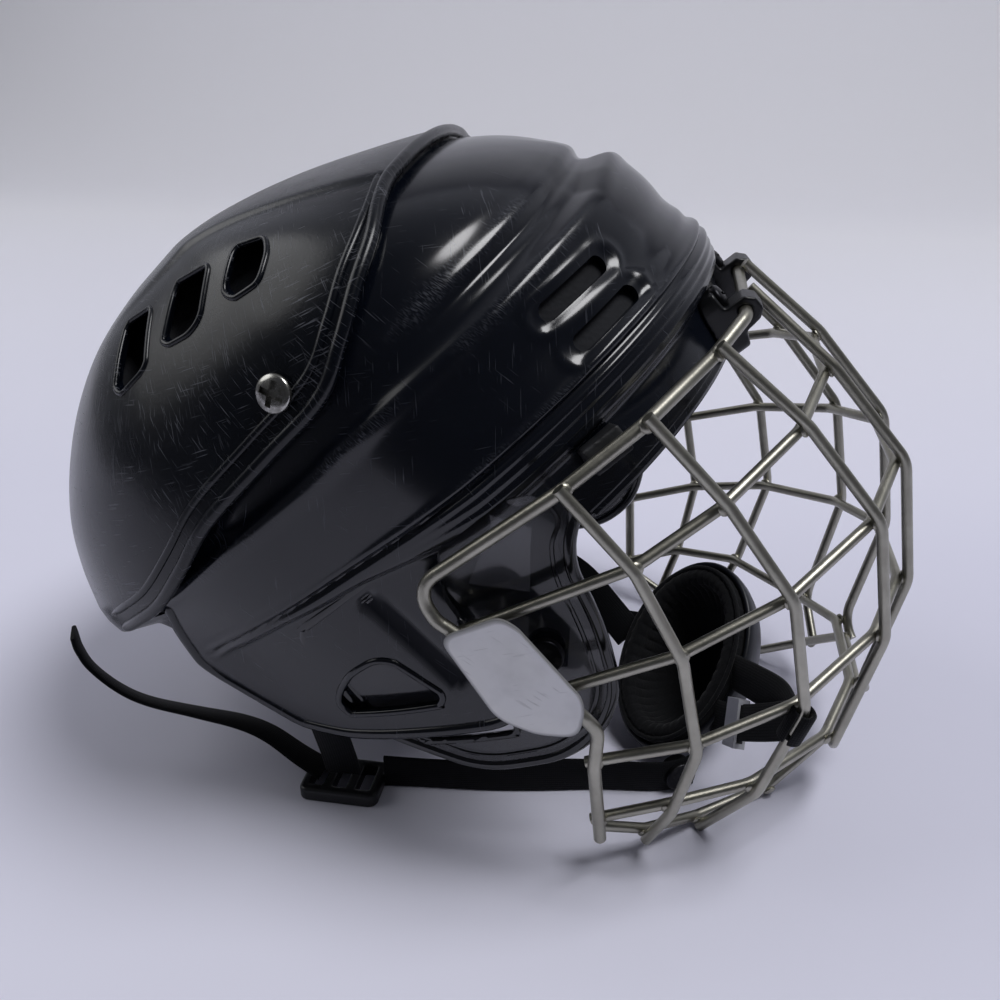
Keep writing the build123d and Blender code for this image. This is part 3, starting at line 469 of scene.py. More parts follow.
def spline(points, count, closed=False):
    """Smooth curve through points, evenly sampled."""
    p = np.asarray(points, float)
    if closed:
        p = np.vstack([p[-1], p, p[0], p[1]])
    else:
        p = np.vstack([2 * p[0] - p[1], p, 2 * p[-1] - p[-2]])
    out = []
    for i in range(1, len(p) - 2):
        u = np.linspace(0, 1, 24, endpoint=False)[:, None]
        a, b, c, d = p[i - 1], p[i], p[i + 1], p[i + 2]
        out.append(0.5 * (2 * b + (c - a) * u + (2 * a - 5 * b + 4 * c - d) * u ** 2
                          + (3 * b - a - 3 * c + d) * u ** 3))
    out = np.vstack(out + [p[-2][None]])
    steps = np.r_[0, np.cumsum(np.linalg.norm(np.diff(out, axis=0), axis=1))]
    at = np.linspace(0, steps[-1], count)
    return np.stack([np.interp(at, steps, out[:, k]) for k in range(out.shape[1])], -1)


def rounded(points, radius, closed=True, steps=6):
    """Outline with its corners rounded."""
    p = [np.asarray(q, float) for q in points]
    out = []
    n = len(p)
    for i in range(n):
        if not closed and i in (0, n - 1):
            out.append(p[i])
            continue
        a, b, c = p[i - 1], p[i], p[(i + 1) % n]
        la, lc = np.linalg.norm(a - b), np.linalg.norm(c - b)
        cut = min(radius, la * 0.45, lc * 0.45)
        first, last = b + (a - b) / la * cut, b + (c - b) / lc * cut
        for k in range(steps + 1):
            u = k / steps
            out.append((1 - u) ** 2 * first + 2 * u * (1 - u) * b + u ** 2 * last)
    return np.array(out)


def tube(name, path, radius, material, sides=10, closed=False, flat=1.0, taper=0):
    """Round or flattened bead along metre points, with rounded ends."""
    p = np.asarray(path, float)
    n = len(p)
    tangent = np.gradient(p, axis=0)
    if closed:
        tangent = np.roll(p, -1, 0) - np.roll(p, 1, 0)
    tangent = unit(tangent)
    normal = np.zeros_like(p)
    seed = np.array([0.0, 0.0, 1.0]) if abs(tangent[0][2]) < 0.9 else np.array([1.0, 0, 0])
    normal[0] = unit(np.cross(tangent[0], seed))
    for i in range(1, n):
        normal[i] = unit(normal[i - 1] - tangent[i] * (normal[i - 1] @ tangent[i]))
    side = np.cross(tangent, normal)
    size = np.full(n, radius)
    if taper and not closed:
        edge = np.minimum(np.arange(n), np.arange(n)[::-1]) / taper
        size = radius * np.sqrt(np.clip(edge, 0.02, 1) * (2 - np.clip(edge, 0.02, 1)))
    turn = np.arange(sides) * 2 * math.pi / sides
    ring = (p[:, None] + size[:, None, None] * (np.cos(turn)[None, :, None] * normal[:, None]
            + flat * np.sin(turn)[None, :, None] * side[:, None]))
    vertices = ring.reshape(-1, 3)
    faces = grid_faces(n, sides) if closed else tube_faces(n, sides)
    if closed:
        last = vertices[-sides:]
        best = min(range(sides), key=lambda shift: np.linalg.norm(
            np.roll(vertices[:sides], -shift, 0) - last))
        base = (n - 1) * sides
        for c in range(sides):
            d = (c + 1) % sides
            faces.append((base + c, base + d, (d + best) % sides, (c + best) % sides))
    return outward(new_object(name, vertices, faces, material, 60.0))


def join(name, pieces):
    """One object from several, named."""
    work = bmesh.new()
    for piece in pieces:
        work.from_mesh(piece.data)
    mesh = bpy.data.meshes.new(name)
    work.to_mesh(mesh)
    work.free()
    mesh.materials.append(pieces[0].data.materials[0])
    finish_mesh(mesh, 50.0)
    for piece in pieces:
        bpy.data.objects.remove(piece)
    return stand(name, mesh)


def mirrored(name, piece):
    """Right-hand twin of a left piece, turned the right way out."""
    mesh = piece.data.copy()
    work = bmesh.new()
    work.from_mesh(mesh)
    for v in work.verts:
        v.co.y = -v.co.y
    bmesh.ops.reverse_faces(work, faces=work.faces)
    work.to_mesh(mesh)
    work.free()
    finish_mesh(mesh, 45.0)
    return stand(name, mesh)


def combine(target, cutters, kind):
    """Cuts or trims a solid with others and drops them."""
    for cutter in cutters:
        step = target.modifiers.new("cut", "BOOLEAN")
        step.operation = kind
        step.object = cutter
        step.solver = "MANIFOLD"
    old = target.data
    settle(target)
    bpy.data.meshes.remove(old)
    for cutter in cutters:
        bpy.data.objects.remove(cutter)


def prism(points, y_low, y_high):
    """Solid of a side outline, in head frame millimetres, between two places across."""
    s, t = np.asarray(points, float).T
    return block(place(s, np.full(len(s), y_low), t), place(s, np.full(len(s), y_high), t))


# Shell forms: height, front reach, front centre, rear centre, rear reach, half width

FRONT_ROWS = np.array([
    (-95, 65, 0, -40, -130, 85), (-70, 70, 0, -40, -135, 88), (-31, 81, 0, -40, -142, 91.5),
    (-12, 85, 0, -40, -146, 93), (-11, 89, 0, -40, -146, 96), (0, 91.5, 0, -40, -148, 97),
    (4, 89, 0, -40, -148, 97), (14, 86, 0, -40, -149, 97), (31, 84, 0, -40, -149, 97),
    (34, 83, 0, -40, -149, 96.5), (38, 77, 0, -40, -148, 94.5), (50, 72, 0, -40, -143, 92),
    (64, 59, 0, -40, -135, 86), (76, 42, -5, -40, -120, 76), (86, 21, -10, -42, -103, 64),
    (94, -3, -22, -45, -86, 48), (99, -28, -34, -46, -64, 26), (101, -38, -40, -46, -54, 10),
    (101.6, -43, -43.5, -44, -45, 1)], float)
REAR_ROWS = np.array([
    (-20, 46, 0, -45, -139, 79), (0, 46, 0, -45, -149, 82), (21, 55, 0, -45, -155, 83.5),
    (27, 89.6, 0, -45, -157.6, 100.5), (33, 89.6, 0, -45, -158, 100.6),
    (38, 85.0, 0, -45, -157, 99.9), (50, 78.5, 0, -45, -151, 96.5),
    (64, 65, 0, -45, -142, 90.3), (76, 47.5, -4, -45, -130, 80.8),
    (88, 22.5, -10, -45, -114, 68.3),
    (99, -3.5, -22, -46, -93, 50.2), (105, -25, -36, -50, -72, 27.4),
    (107.4, -37, -42, -52, -62, 12), (107.9, -46, -48, -50, -52, 1)], float)
TOP_BLEND = (42.0, 60.0)          # below it creases stay crisp, above it the form is round
STEP = 0.01                        # step of the square root of the depth below the top


CRISP, ROUND = 0.03, 0.34          # blur widths in that root, low down and in the dome


def softened(rows):
    """Finely stepped rows, crisp low down and round in the dome, from the foot up."""
    top = rows[-1, 0]
    depth = np.sqrt(top - rows[:, 0])[::-1]
    fine = np.arange(0.0, depth[-1], STEP)
    table = np.stack([np.interp(fine, depth, rows[::-1, k]) for k in range(1, 6)], -1)

    def blurred(width):
        reach = int(4 * width / STEP) + 1
        kernel = np.exp(-0.5 * (np.arange(-reach, reach + 1) * STEP / width) ** 2)
        kernel /= kernel.sum()
        wide = np.vstack([2 * table[0] - table[reach:0:-1], table,
                          2 * table[-1] - table[-2:-reach - 2:-1]])
        return np.stack([np.convolve(wide[:, k], kernel, "valid") for k in range(5)], -1)
    t = top - fine ** 2
    share = np.clip((t - TOP_BLEND[0]) / (TOP_BLEND[1] - TOP_BLEND[0]), 0, 1)[:, None]
    out = blurred(CRISP) * (1 - share) + blurred(ROUND) * share
    return t[::-1], out[::-1]


FRONT_END, REAR_START = 0.46, 0.54    # shares round a side between which it runs straight
CURVED, STRAIGHT = 0.46, 0.08         # shares of a curved quarter and of that straight


def section(table, t):
    """Front reach, front centre, rear centre, rear reach and half width at a height."""
    heights, values = table
    return [np.interp(t, heights, values[:, k]) for k in range(5)]


def ring_point(table, share, t):
    """Section point for a share of the way round from the front, and a height."""
    front, front_c, rear_c, rear, half = section(table, t)
    turn = np.abs(((share + 0.5) % 1.0) - 0.5) * 2
    hand = np.where((share % 1.0) <= 0.5, 1.0, -1.0)
    a = np.clip(turn / CURVED, 0, 1) * math.pi / 2
    b = np.clip((turn - REAR_START) / CURVED, 0, 1) * math.pi / 2
    straight = np.clip((turn - FRONT_END) / STRAIGHT, 0, 1)
    s = np.where(turn < FRONT_END, front_c + (front - front_c) * np.cos(a),
                 front_c + (rear_c - front_c) * straight)
    s = np.where(turn > REAR_START, rear_c - (rear_c - rear) * np.sin(b), s)
    y = half * np.where(turn < FRONT_END, np.sin(a),
                        np.where(turn > REAR_START, np.cos(b), 1.0))
    return s, y * hand


def width_at(table, s, t):
    """Half width of a form at a place along and up."""
    front, front_c, rear_c, rear, half = section(table, t)
    ahead = np.clip((s - front_c) / (front - front_c), 0, 1)
    behind = np.clip((s - rear_c) / (rear - rear_c), 0, 1)
    return half * np.sqrt(np.clip(1 - np.maximum(ahead, behind) ** 2, 0, 1))


FRONT = softened(FRONT_ROWS)
BRIM_ROWS = (3, 4, 5)             # the rows that form the brim step, left out of PLAIN
PLAIN = softened(np.delete(FRONT_ROWS, BRIM_ROWS, 0))
REAR = softened(REAR_ROWS)

# Ledge and crease heights round the front shell, by angle from the nose in degrees
LEDGE_ANGLE = (0, 12, 22, 45, 60, 80, 92, 100, 120, 136, 180)
LEDGE_HEIGHT = (37, 35, 32, 31, 30, 30, 29.8, 28.6, 28.7, 29.2, 29.2)
CREASE_ANGLE = (0, 20, 41, 60, 82, 95, 180)
CREASE_HEIGHT = (41.5, 40, 38, 37, 35.5, 35.5, 35.5)
LEDGE_ROW = 35.0

# Brim step and the groove above it, by place along the helmet
BRIM_PLACE = (-87, -61, -45, -28, -6, 15, 27, 92)
BRIM_STEP = (2.8, 0.9, -1.3, -3.4, -8.1, -11.3, -11.5, -11.5)
BRIM_GROOVE = (5.6, 4.2, 3.0, 2.0, 0.6, 0.0, 0.0, 0.0)
STEP_ROW = -11.5
BRIM_END = (-96.0, -84.0)         # the step dies out between these places
BRIM_TOP = 18.0                   # above it the step has no say
LEDGE_REACH, STEP_REACH = 26.0, 29.0  # how far the rows are drawn along with each line


def eased(distance, reach):
    """Share that falls smoothly from one to nothing over a reach."""
    x = np.clip(1 - np.abs(distance) / reach, 0, 1)
    return x * x * (3 - 2 * x)


def warped(share, t):
    """Row height to use at a place, so that the ledge and brim step follow their lines."""
    s, y = ring_point(FRONT, share, t)
    angle = np.degrees(np.arctan2(np.abs(y), s))
    ledge = np.interp(angle, LEDGE_ANGLE, LEDGE_HEIGHT)
    step = np.interp(s, BRIM_PLACE, BRIM_STEP)
    row = t + (LEDGE_ROW - ledge) * eased(t - ledge, LEDGE_REACH)
    row = row + (STEP_ROW - step) * eased(t - step, STEP_REACH)
    return row, angle, ledge


def front_point(share, t):
    """Front shell section point, its row height, angle and ledge height."""
    row, angle, ledge = warped(share, t)
    s, y = ring_point(FRONT, share, row)
    plain_s, plain_y = ring_point(PLAIN, share, t)
    keep = np.clip((s - BRIM_END[0]) / (BRIM_END[1] - BRIM_END[0]), 0, 1)
    keep = np.where(t > BRIM_TOP, 1.0, keep)
    return s * keep + plain_s * (1 - keep), y * keep + plain_y * (1 - keep), angle, ledge


def bell(x, width):
    """Round-topped line of height one."""
    return np.exp(-0.5 * (x / width) ** 2)


def to_segment(points, start, end):
    """Distance of points from a straight line piece."""
    a, run = np.asarray(start, float), np.asarray(end, float) - start
    part = np.clip(((points - a) @ run) / (run @ run), 0, 1)
    return np.linalg.norm(points - a - part[..., None] * run, axis=-1)


def front_relief(t, s, y, angle, ledge):
    """Outward height of the front shell's moulded lines, in millimetres."""
    front = np.clip((100 - angle) / 15, 0, 1)
    crease = np.interp(angle, CREASE_ANGLE, CREASE_HEIGHT)
    step = np.interp(s, BRIM_PLACE, BRIM_STEP)
    groove = np.interp(s, BRIM_PLACE, BRIM_GROOVE)
    # Rolled ledge over the brow, the crease above it and that crease's upper roll
    out = 0.9 * bell(t - ledge + 1.5, 2.0) * np.clip((142 - angle) / 8, 0, 1)
    out -= 1.5 * bell(t - crease - 1.0, 1.5) * np.clip((75 - angle) / 30, 0, 1)
    out += 0.7 * bell(t - crease - 5.0, 2.2) * np.clip((85 - angle) / 25, 0, 1)
    # Groove over the brim with its raised edge, then three ribs down the forehead band
    side_end = np.clip((s - BRIM_END[0]) / 6, 0, 1)
    out -= 1.2 * bell(t - groove + 0.4, 0.7) * side_end
    out += 0.5 * bell(t - groove - 1.4, 0.8) * side_end
    inside = (t - step) / np.maximum(groove - step, 1.0)
    for share in (0.79, 0.55, 0.30):
        out += 0.45 * bell((inside - share) * 11.5, 0.7) * front
    # Two fine lines above the lower edge, the nose swell and the brow's middle
    out += 0.55 * bell(t + 29.6, 0.55) * front + 0.45 * bell(t + 27.6, 0.5) * front
    out += 0.5 * bell(t - 7.5, 1.6) * np.clip((60 - angle) / 20, 0, 1)
    out += 1.6 * np.clip((38 - angle) / 14, 0, 1) * bell(t - 22, 8.0)
    # Raised rims and sunk beds of the slot vents, the side's recess bar and its pocket
    where = np.stack([s, -np.abs(y), t], -1)
    for start, end in SLOTS:
        near = to_segment(where, start, end)
        out += 0.65 * bell(near - 4.9, 1.1) - 0.7 * bell(near, 3.0)
    bar = to_segment(where[..., [0, 2]], *BAR_LINE)
    out -= 1.3 * np.clip((3.6 - bar) / 0.8, 0, 1)
    rim = to_segment(where[..., [0, 2]], *POCKET_LINE)
    out -= 1.1 * bell(rim, 7.0) * np.clip((angle - 42) / 14, 0, 1)
    return out


def row_heights(table, low, high, fine_bands, coarse):
    """Heights of a form's rows: evenly spaced along the surface, closer in fine bands."""
    heights, values = table
    inside = (heights >= low) & (heights <= high)
    t, v = heights[inside], values[inside]
    run = np.sqrt(np.gradient(t) ** 2 + np.gradient(v[:, 4]) ** 2 + np.gradient(v[:, 0]) ** 2)
    pitch = np.full(len(t), coarse)
    for band_low, band_high, band_pitch in fine_bands:
        pitch[(t > band_low) & (t < band_high)] = band_pitch
    steps = np.cumsum(run / pitch)
    return np.interp(np.linspace(steps[0], steps[-1], int(steps[-1])), steps, t)


def shell_solid(name, table, rows, columns, relief, material):
    """Closed hollow solid of a shell form: outer skin with relief, and a coarser inside."""
    vertices, faces = [], []
    start = 0
    for skin, count in enumerate((columns, columns // 3)):
        t = rows if skin == 0 else rows[6:-2:3]
        share = np.arange(count) / count
        tt, ss = np.meshgrid(t, share, indexing="ij")
        s, y, *lines = (front_point(ss, tt) if table is FRONT
                        else ring_point(table, ss, tt))
        base = np.stack([s, y, tt], -1)
        along = np.roll(base, -1, 1) - np.roll(base, 1, 1)
        rise = np.gradient(base, axis=0)
        normal = np.cross(along, rise)
        normal /= np.maximum(np.linalg.norm(normal, axis=2)[..., None], 1e-9)
        if skin == 0:
            base = base + normal * relief(tt, s, y, *lines)[..., None]
        else:
            base = base - normal * WALL
        points = metres(base).reshape(-1, 3)
        vertices.append(points)
        faces += grid_faces(len(t), count, start, True, skin == 1)
        bottom = tuple(start + c for c in range(count))
        top = tuple(start + (len(t) - 1) * count + c for c in range(count))
        faces += [bottom[::-1], top] if skin == 0 else [bottom, top[::-1]]
        start += len(points)
    return new_object(name, np.vstack(vertices), faces, material)


def rear_relief(t, s, y):
    """Outward height of the rear shell's moulded lines: the raised middle panel."""
    fade = np.clip((s + 60) / 40, 0, 1) * np.clip((t - 60) / 12, 0, 1)
    return (1.2 / (1 + np.exp((np.abs(y) - 50.5) * 1.6)) - 0.2) * fade


# Side outlines in the head frame: along and up

PANEL = [(-89.5, 27), (-96, 19.4), (-105, 4), (-105, -3), (-95, -32), (-79, -42.4), (-56, -53),
         (-34, -64), (-27, -65), (-16, -29), (-15, -22), (-5, -8.5), (22, -8.5), (34, -31)]
TUCK = [(23, 118), (20, 90), (14, 78), (8, 70), (-22, 66), (-40, 56), (-83, 40)]
LIP = [(66, 97.2), (47, 76), (44.5, 74.5), (40.4, 71.8), (38.2, 68.1), (35.8, 63.5),
       (31.2, 59.3), (26, 55.7), (20, 51), (13, 46), (1.5, 40.7), (-15, 39.6), (-37, 39.5),
       (-50, 36.4), (-62, 32.8), (-82, 28.3), (-89.5, 27.9)]
HEM = [(-97, 27.9), (-97, 20.5), (-89.4, 19.4), (-89.4, -15), (-106, -15), (-107.4, 0),
       (-111.5, 8.6), (-118, 18.4), (-127, 26.5), (-139, 29.5)]
WINDOWS = [[(0, 87), (9.2, 83), (9.4, 79), (5, 74.4), (-4.5, 76), (-6.9, 79.5)],
           [(-8.9, 88.6), (-17, 79), (-22.4, 78), (-31, 80), (-33, 82), (-25, 90.7),
            (-23, 92)],
           [(-35, 92.6), (-41, 81), (-44, 80), (-54, 79.7), (-56.6, 82.5), (-49, 94),
            (-47, 95)]]
PANEL_WINDOW = [(-66, -27.5), (-57, -24), (-46.5, -24.5), (-42, -28), (-38.5, -46),
                (-42, -49), (-70.5, -36), (-70.5, -31)]
GUARD = [(-71, -47), (-52, -77), (-29, -88), (-13, -87), (0.5, -78), (10.6, -59), (17, -38),
         (22, -31), (29, -26), (27, -4), (-60, -4), (-69, -30)]
GUARD_SLOT = [(-60, -52), (-30, -67), (-33, -73), (-61.5, -58)]
SLOTS = [((54.8, -74.2, 19.4), (71.9, -52.2, 18.1)), ((56.6, -74.2, 7.3), (73.6, -53.2, 6.7))]
BAR_LINE = ((-33.0, -10.0), (-31.0, -45.0))
POCKET_LINE = ((30.0, 19.0), (50.0, 12.0))
SIDE_SCREW = (-5.2, 50.4)
TRAVEL = np.array((-7.25, 3.38))      # the rear shell's way back, 8 mm
TRAVEL_WIDTH = 8.8
SNAP = (-5.4, -54.0)
SNAP_HOLE = 2.2
WALL = 3.0
SIDE_INNER, SIDE_OUTER = 34.0, 125.0  # how far in and out a side cutter reaches
ACROSS = 130.0                        # half width of a cutter through the whole shell
HANDS = (("left", 1), ("right", -1))  # as worn


def both_sides(outline, inner=SIDE_INNER):
    """Cutters through the left and the right side for one outline."""
    return [prism(outline, inner, SIDE_OUTER), prism(outline, -SIDE_OUTER, -inner)]


def slot_cutter(start, end, width, hand):
    """Round-ended slot cutter across the shell at a vent."""
    a, b = np.array(start, float), np.array(end, float)
    a[1], b[1] = a[1] * hand, b[1] * hand
    middle, along = (a + b) / 2, (b - a) / np.linalg.norm(b - a)
    out = np.array([along[1], -along[0], 0.0]) * (1 if hand > 0 else -1)
    out = unit(-out if out @ middle < 0 else out)
    up = np.cross(along, out)
    half = np.linalg.norm(b - a) / 2 - width / 2
    ring = []
    for turn in 2 * math.pi * (np.arange(SLOT_STEPS) + 0.5) / SLOT_STEPS:
        shift = half if math.cos(turn) > 0 else -half
        ring.append(along * (shift + width / 2 * math.cos(turn)) + up * width / 2
                    * math.sin(turn))
    ring = np.array(ring) + middle
    return block(metres(ring - out * SLOT_DEEP), metres(ring + out * SLOT_DEEP))


SLOT_WIDTH, SLOT_STEPS, SLOT_DEEP = 5.6, 24, 14


def travel_outline(radius):
    """Round-ended slot in the front shell's side, where the side screw slides."""
    along = TRAVEL / np.linalg.norm(TRAVEL)
    across = np.array((-along[1], along[0]))
    arc = [radius * (along * math.cos(a) + across * math.sin(a))
           for a in np.linspace(-math.pi / 2, math.pi / 2, 13)]
    return np.array([SIDE_SCREW + TRAVEL + q for q in arc] + [SIDE_SCREW - q for q in arc])


def set_scuff(made):
    """Wear on the front shell's brow ledge and crease, kept as a point attribute."""
    mesh = made.data
    p = mesh_points(mesh) / MM - HEAD
    s = p[:, 0] * math.cos(LEAN) + p[:, 2] * math.sin(LEAN)
    t = -p[:, 0] * math.sin(LEAN) + p[:, 2] * math.cos(LEAN)
    angle = np.degrees(np.arctan2(np.abs(p[:, 1]), s))
    ledge = np.interp(angle, LEDGE_ANGLE, LEDGE_HEIGHT)
    crease = np.interp(angle, CREASE_ANGLE, CREASE_HEIGHT)
    amount = bell(t - ledge + 1.8, 1.4) * np.clip((angle - 25) / 15, 0, 1) * 0.75
    amount += bell(t - crease - 6.0, 1.8) * np.clip((80 - angle) / 10, 0, 1) * 0.7
    amount += 0.5 * bell(t - 1.6, 0.8) * np.clip((110 - angle) / 10, 0, 1)
    layer = mesh.attributes.new("scuff", "FLOAT", "POINT")
    layer.data.foreach_set("value", np.clip(amount, 0, 1))
    bar = to_segment(np.stack([s, t], -1), *BAR_LINE)
    layer = mesh.attributes.new("matt", "FLOAT", "POINT")
    layer.data.foreach_set("value", np.clip((3.9 - bar) / 0.6, 0, 1))


def make_front_shell():
    """Front skin with its ledges, vents, side windows and the side screws' slots."""
    rows = row_heights(FRONT, -92.0, 101.4, [
        (-46, -33, 0.9), (-33, -24, 0.45), (-24, -14, 0.9), (-14, 12, 0.5), (12, 52, 0.8)], 2.2)
    shell = shell_solid("front_shell_skin", FRONT, rows, 420, front_relief, GLOSS)
    outline = rounded(PANEL, 4.0, False)[:-1].tolist() + [(34, -31), (122, -31), (122, 118)]
    outline += TUCK
    combine(shell, [prism(outline, -ACROSS, ACROSS)], "INTERSECT")
    cutters = [slot_cutter(start, end, SLOT_WIDTH, hand) for start, end in SLOTS
               for hand in (1, -1)]
    cutters += both_sides(rounded(PANEL_WINDOW, 2.5))
    cutters += both_sides(travel_outline(TRAVEL_WIDTH / 2))
    combine(shell, cutters, "DIFFERENCE")
    finish_mesh(shell.data, 38.0)
    set_scuff(shell)
    return shell


def make_rear_shell():
    """Rear skin with its rolled front edge and three windows a side."""
    rows = row_heights(REAR, -19.5, 107.85, [(20, 40, 1.0)], 2.0)
    shell = shell_solid("rear_shell_skin", REAR, rows, 400, rear_relief, SATIN)
    outline = spline(LIP, 90).tolist() + rounded([LIP[-1]] + HEM, 3.0, False)[1:].tolist()
    outline += [(-179, 29.5), (-179, 140), (66, 140)]
    combine(shell, [prism(outline, -ACROSS, ACROSS)], "INTERSECT")
    combine(shell, [cutter for outline in WINDOWS
                    for cutter in both_sides(rounded(outline, 2.5), 26.0)], "DIFFERENCE")
    finish_mesh(shell.data, 38.0)
    return shell


front_shell = make_front_shell()
rear_shell = make_rear_shell()


# Moulded edges of the shells

def form_point(table, share, t):
    """Head frame point on either shell's skin, for a share of the way round and a height."""
    s, y = front_point(share, t)[:2] if table is FRONT else ring_point(table, share, t)
    return np.stack([s, y, t], -1)


def skin_point(table, share, t, lift):
    """The same, moved outwards by lift."""
    step, rise = 1e-3, 0.3        # to the neighbours that the outward way is taken from
    share, t = np.asarray(share, float), np.asarray(t, float)
    here = form_point(table, share, t)
    return here + lift * unit(np.cross(form_point(table, share + step, t) - here,
                                       form_point(table, share, t + rise) - here))


def side_curve(table, outline, hand, lift):
    """Points of a side outline set on a form's surface, on one hand."""
    shares = np.linspace(0.001, 0.499, 500)
    share, heights = [], []
    for s, t in np.asarray(outline, float):
        across = form_point(table, shares, np.full(500, t))[:, 0]
        share.append(np.interp(s, across[::-1], shares[::-1]))
        heights.append(t)
    share = np.array(share)
    return metres(skin_point(table, share if hand > 0 else 1 - share, heights, lift))


def lip_curve(back, lift):
    """Front edge of the rear shell, from the right side over the top to the left."""
    line = np.array(LIP, float)[::-1]
    shares = np.linspace(-0.372, 0.372, 121)
    heights = np.linspace(20, 100, 900)
    points = []
    for share in shares:
        s = ring_point(REAR, np.full(900, share), heights)[0]
        gap = heights - back - np.interp(s, line[:, 0], line[:, 1])
        first = int(np.argmax(gap > 0))
        points.append(skin_point(REAR, share, heights[first], lift))
    return metres(spline(points[::4], 260))


def make_lip():
    """Rolled double bead along the rear shell's front edge."""
    edge = tube("lip_edge", lip_curve(0.6, 0.0), 0.0020, SATIN, 14, taper=6)
    ridge = tube("lip_ridge", lip_curve(6.6, -0.5), 0.0014, SATIN, 10, taper=8)
    return join("rear_lip_bead", [edge, ridge])


def rims(name, table, outlines, radius, material, lift, corner):
    """Rounded rims round side openings, both hands."""
    pieces = []
    for outline in outlines:
        smooth = spline(rounded(outline, corner, True, 3), 72, True)[:-1]
        for hand in (1, -1):
            pieces.append(tube("rim", side_curve(table, smooth, hand, lift), radius,
                               material, 8, True))
    return join(name, pieces)


def make_panel_bead():
    """Rounded bead along the side panel's free edge, both hands."""
    line = spline(rounded(PANEL[:10], 4.0, False), 150)
    return join("panel_edge_bead", [
        tube("edge", side_curve(FRONT, line, hand, -0.7), 0.0021, GLOSS, 8, taper=3)
        for hand in (1, -1)])


lip = make_lip()
window_rims = rims("rear_window_rims", REAR, WINDOWS, 0.0009, SATIN, -0.25, 2.5)
panel_rims = rims("panel_window_rims", FRONT, [PANEL_WINDOW], 0.0012, GLOSS, -0.2, 4.0)
panel_bead = make_panel_bead()


# Ear guards: smoked sheet that follows the side panel's inside

GUARD_DEPTH = WALL + 0.45
GUARD_WALL = 2.4
GUARD_PITCH = 1.6


def guard_sheet():
    """Curved sheet that lies under the side panel, before its outline is cut."""
    ss, tt = np.meshgrid(np.arange(-78.0, 37.0, GUARD_PITCH),
                         np.arange(-92.0, -1.0, GUARD_PITCH))
    wide = width_at(PLAIN, ss, tt) - GUARD_DEPTH
    outer = place(ss, wide, tt).reshape(-1, 3)
    inner = place(ss, wide - GUARD_WALL, tt).reshape(-1, 3)
    rows, columns = ss.shape
    count = rows * columns
    faces = grid_faces(rows, columns, 0, False) + grid_faces(rows, columns, count, False, True)
    ring = (list(range(columns)) + [r * columns + columns - 1 for r in range(1, rows)]
            + [(rows - 1) * columns + c for c in range(columns - 2, -1, -1)]
            + [r * columns for r in range(rows - 2, 0, -1)])
    for a, b in zip(ring, ring[1:] + ring[:1]):
        faces.append((a, a + count, b + count, b))
    return outward(new_object("ear_guard_sheet_left", np.vstack([outer, inner]), faces,
                              SMOKED))


def guard_bead(outline, depth, radius, sides, count=140):
    """Round bead along a closed line on the ear guard, depth below the sheet's outside."""
    s, t = spline(rounded(outline, 9.0, True, 4), count, True).T
    wide = width_at(PLAIN, s, t) - GUARD_DEPTH - depth
    return tube("bead", place(s, wide, t)[:-1], radius, SMOKED_EDGE, sides, True)


def inset(outline, distance):
    """Outline moved inwards by a distance."""
    p = np.asarray(outline, float)
    run = unit(np.roll(p, -1, 0) - np.roll(p, 1, 0))
    side = np.stack([-run[:, 1], run[:, 0]], -1)
    middle = p.mean(0)
    flip = np.sign(np.sum(side * (middle - p), axis=1))
    return p + side * flip[:, None] * distance


def make_guard():
    """Smoked sheet with its slot and snap hole, and the moulded beads round it."""
    sheet = guard_sheet()
    turn = np.linspace(0, 2 * math.pi, 20, endpoint=False)
    hole = np.stack([SNAP[0] + SNAP_HOLE * np.cos(turn), SNAP[1] + SNAP_HOLE * np.sin(turn)],
                    -1)
    outline, slot, hole = (prism(line, SIDE_INNER, SIDE_OUTER) for line in (
        rounded(inset(GUARD, 1.3), 9.0), rounded(GUARD_SLOT, 2.5), hole))
    combine(sheet, [outline], "INTERSECT")
    combine(sheet, [slot, hole], "DIFFERENCE")
    finish_mesh(sheet.data, 35.0)
    return sheet, join("ear_guard_rim_left", [
        guard_bead(GUARD, 1.0, 0.0021, 10), guard_bead(inset(GUARD, 4.6), 0.5, 0.0009, 8),
        guard_bead(GUARD_SLOT, 0.5, 0.0013, 8, 70)])


guard_left, guard_rim_left = make_guard()
guard_right = mirrored("ear_guard_sheet_right", guard_left)
guard_rim_right = mirrored("ear_guard_rim_right", guard_rim_left)


# Soft and moulded copies of CAD solids: rounded by a voxel skin, so no edge stays sharp

def eased_skin(made, voxel, smooth, material):
    """Rounds an object's edges with an even skin."""
    skin = made.modifiers.new("skin", "REMESH")
    skin.mode = "VOXEL"
    skin.voxel_size = voxel
    ease = made.modifiers.new("ease", "SMOOTH")
    ease.iterations = smooth
    ease.factor = 0.5
    mesh = settle(made)
    mesh.materials.clear()
    mesh.materials.append(material)
    finish_mesh(mesh, 180.0)
    return made


def rounded_copy(node, name, voxel, smooth, material):
    """Rounded skin of a CAD solid."""
    made = stand(name, bpy.data.objects[node].data.copy())
    return eased_skin(made, voxel, smooth, material)


# Straps: woven ribbons with their lengths in the UV map, in millimetres

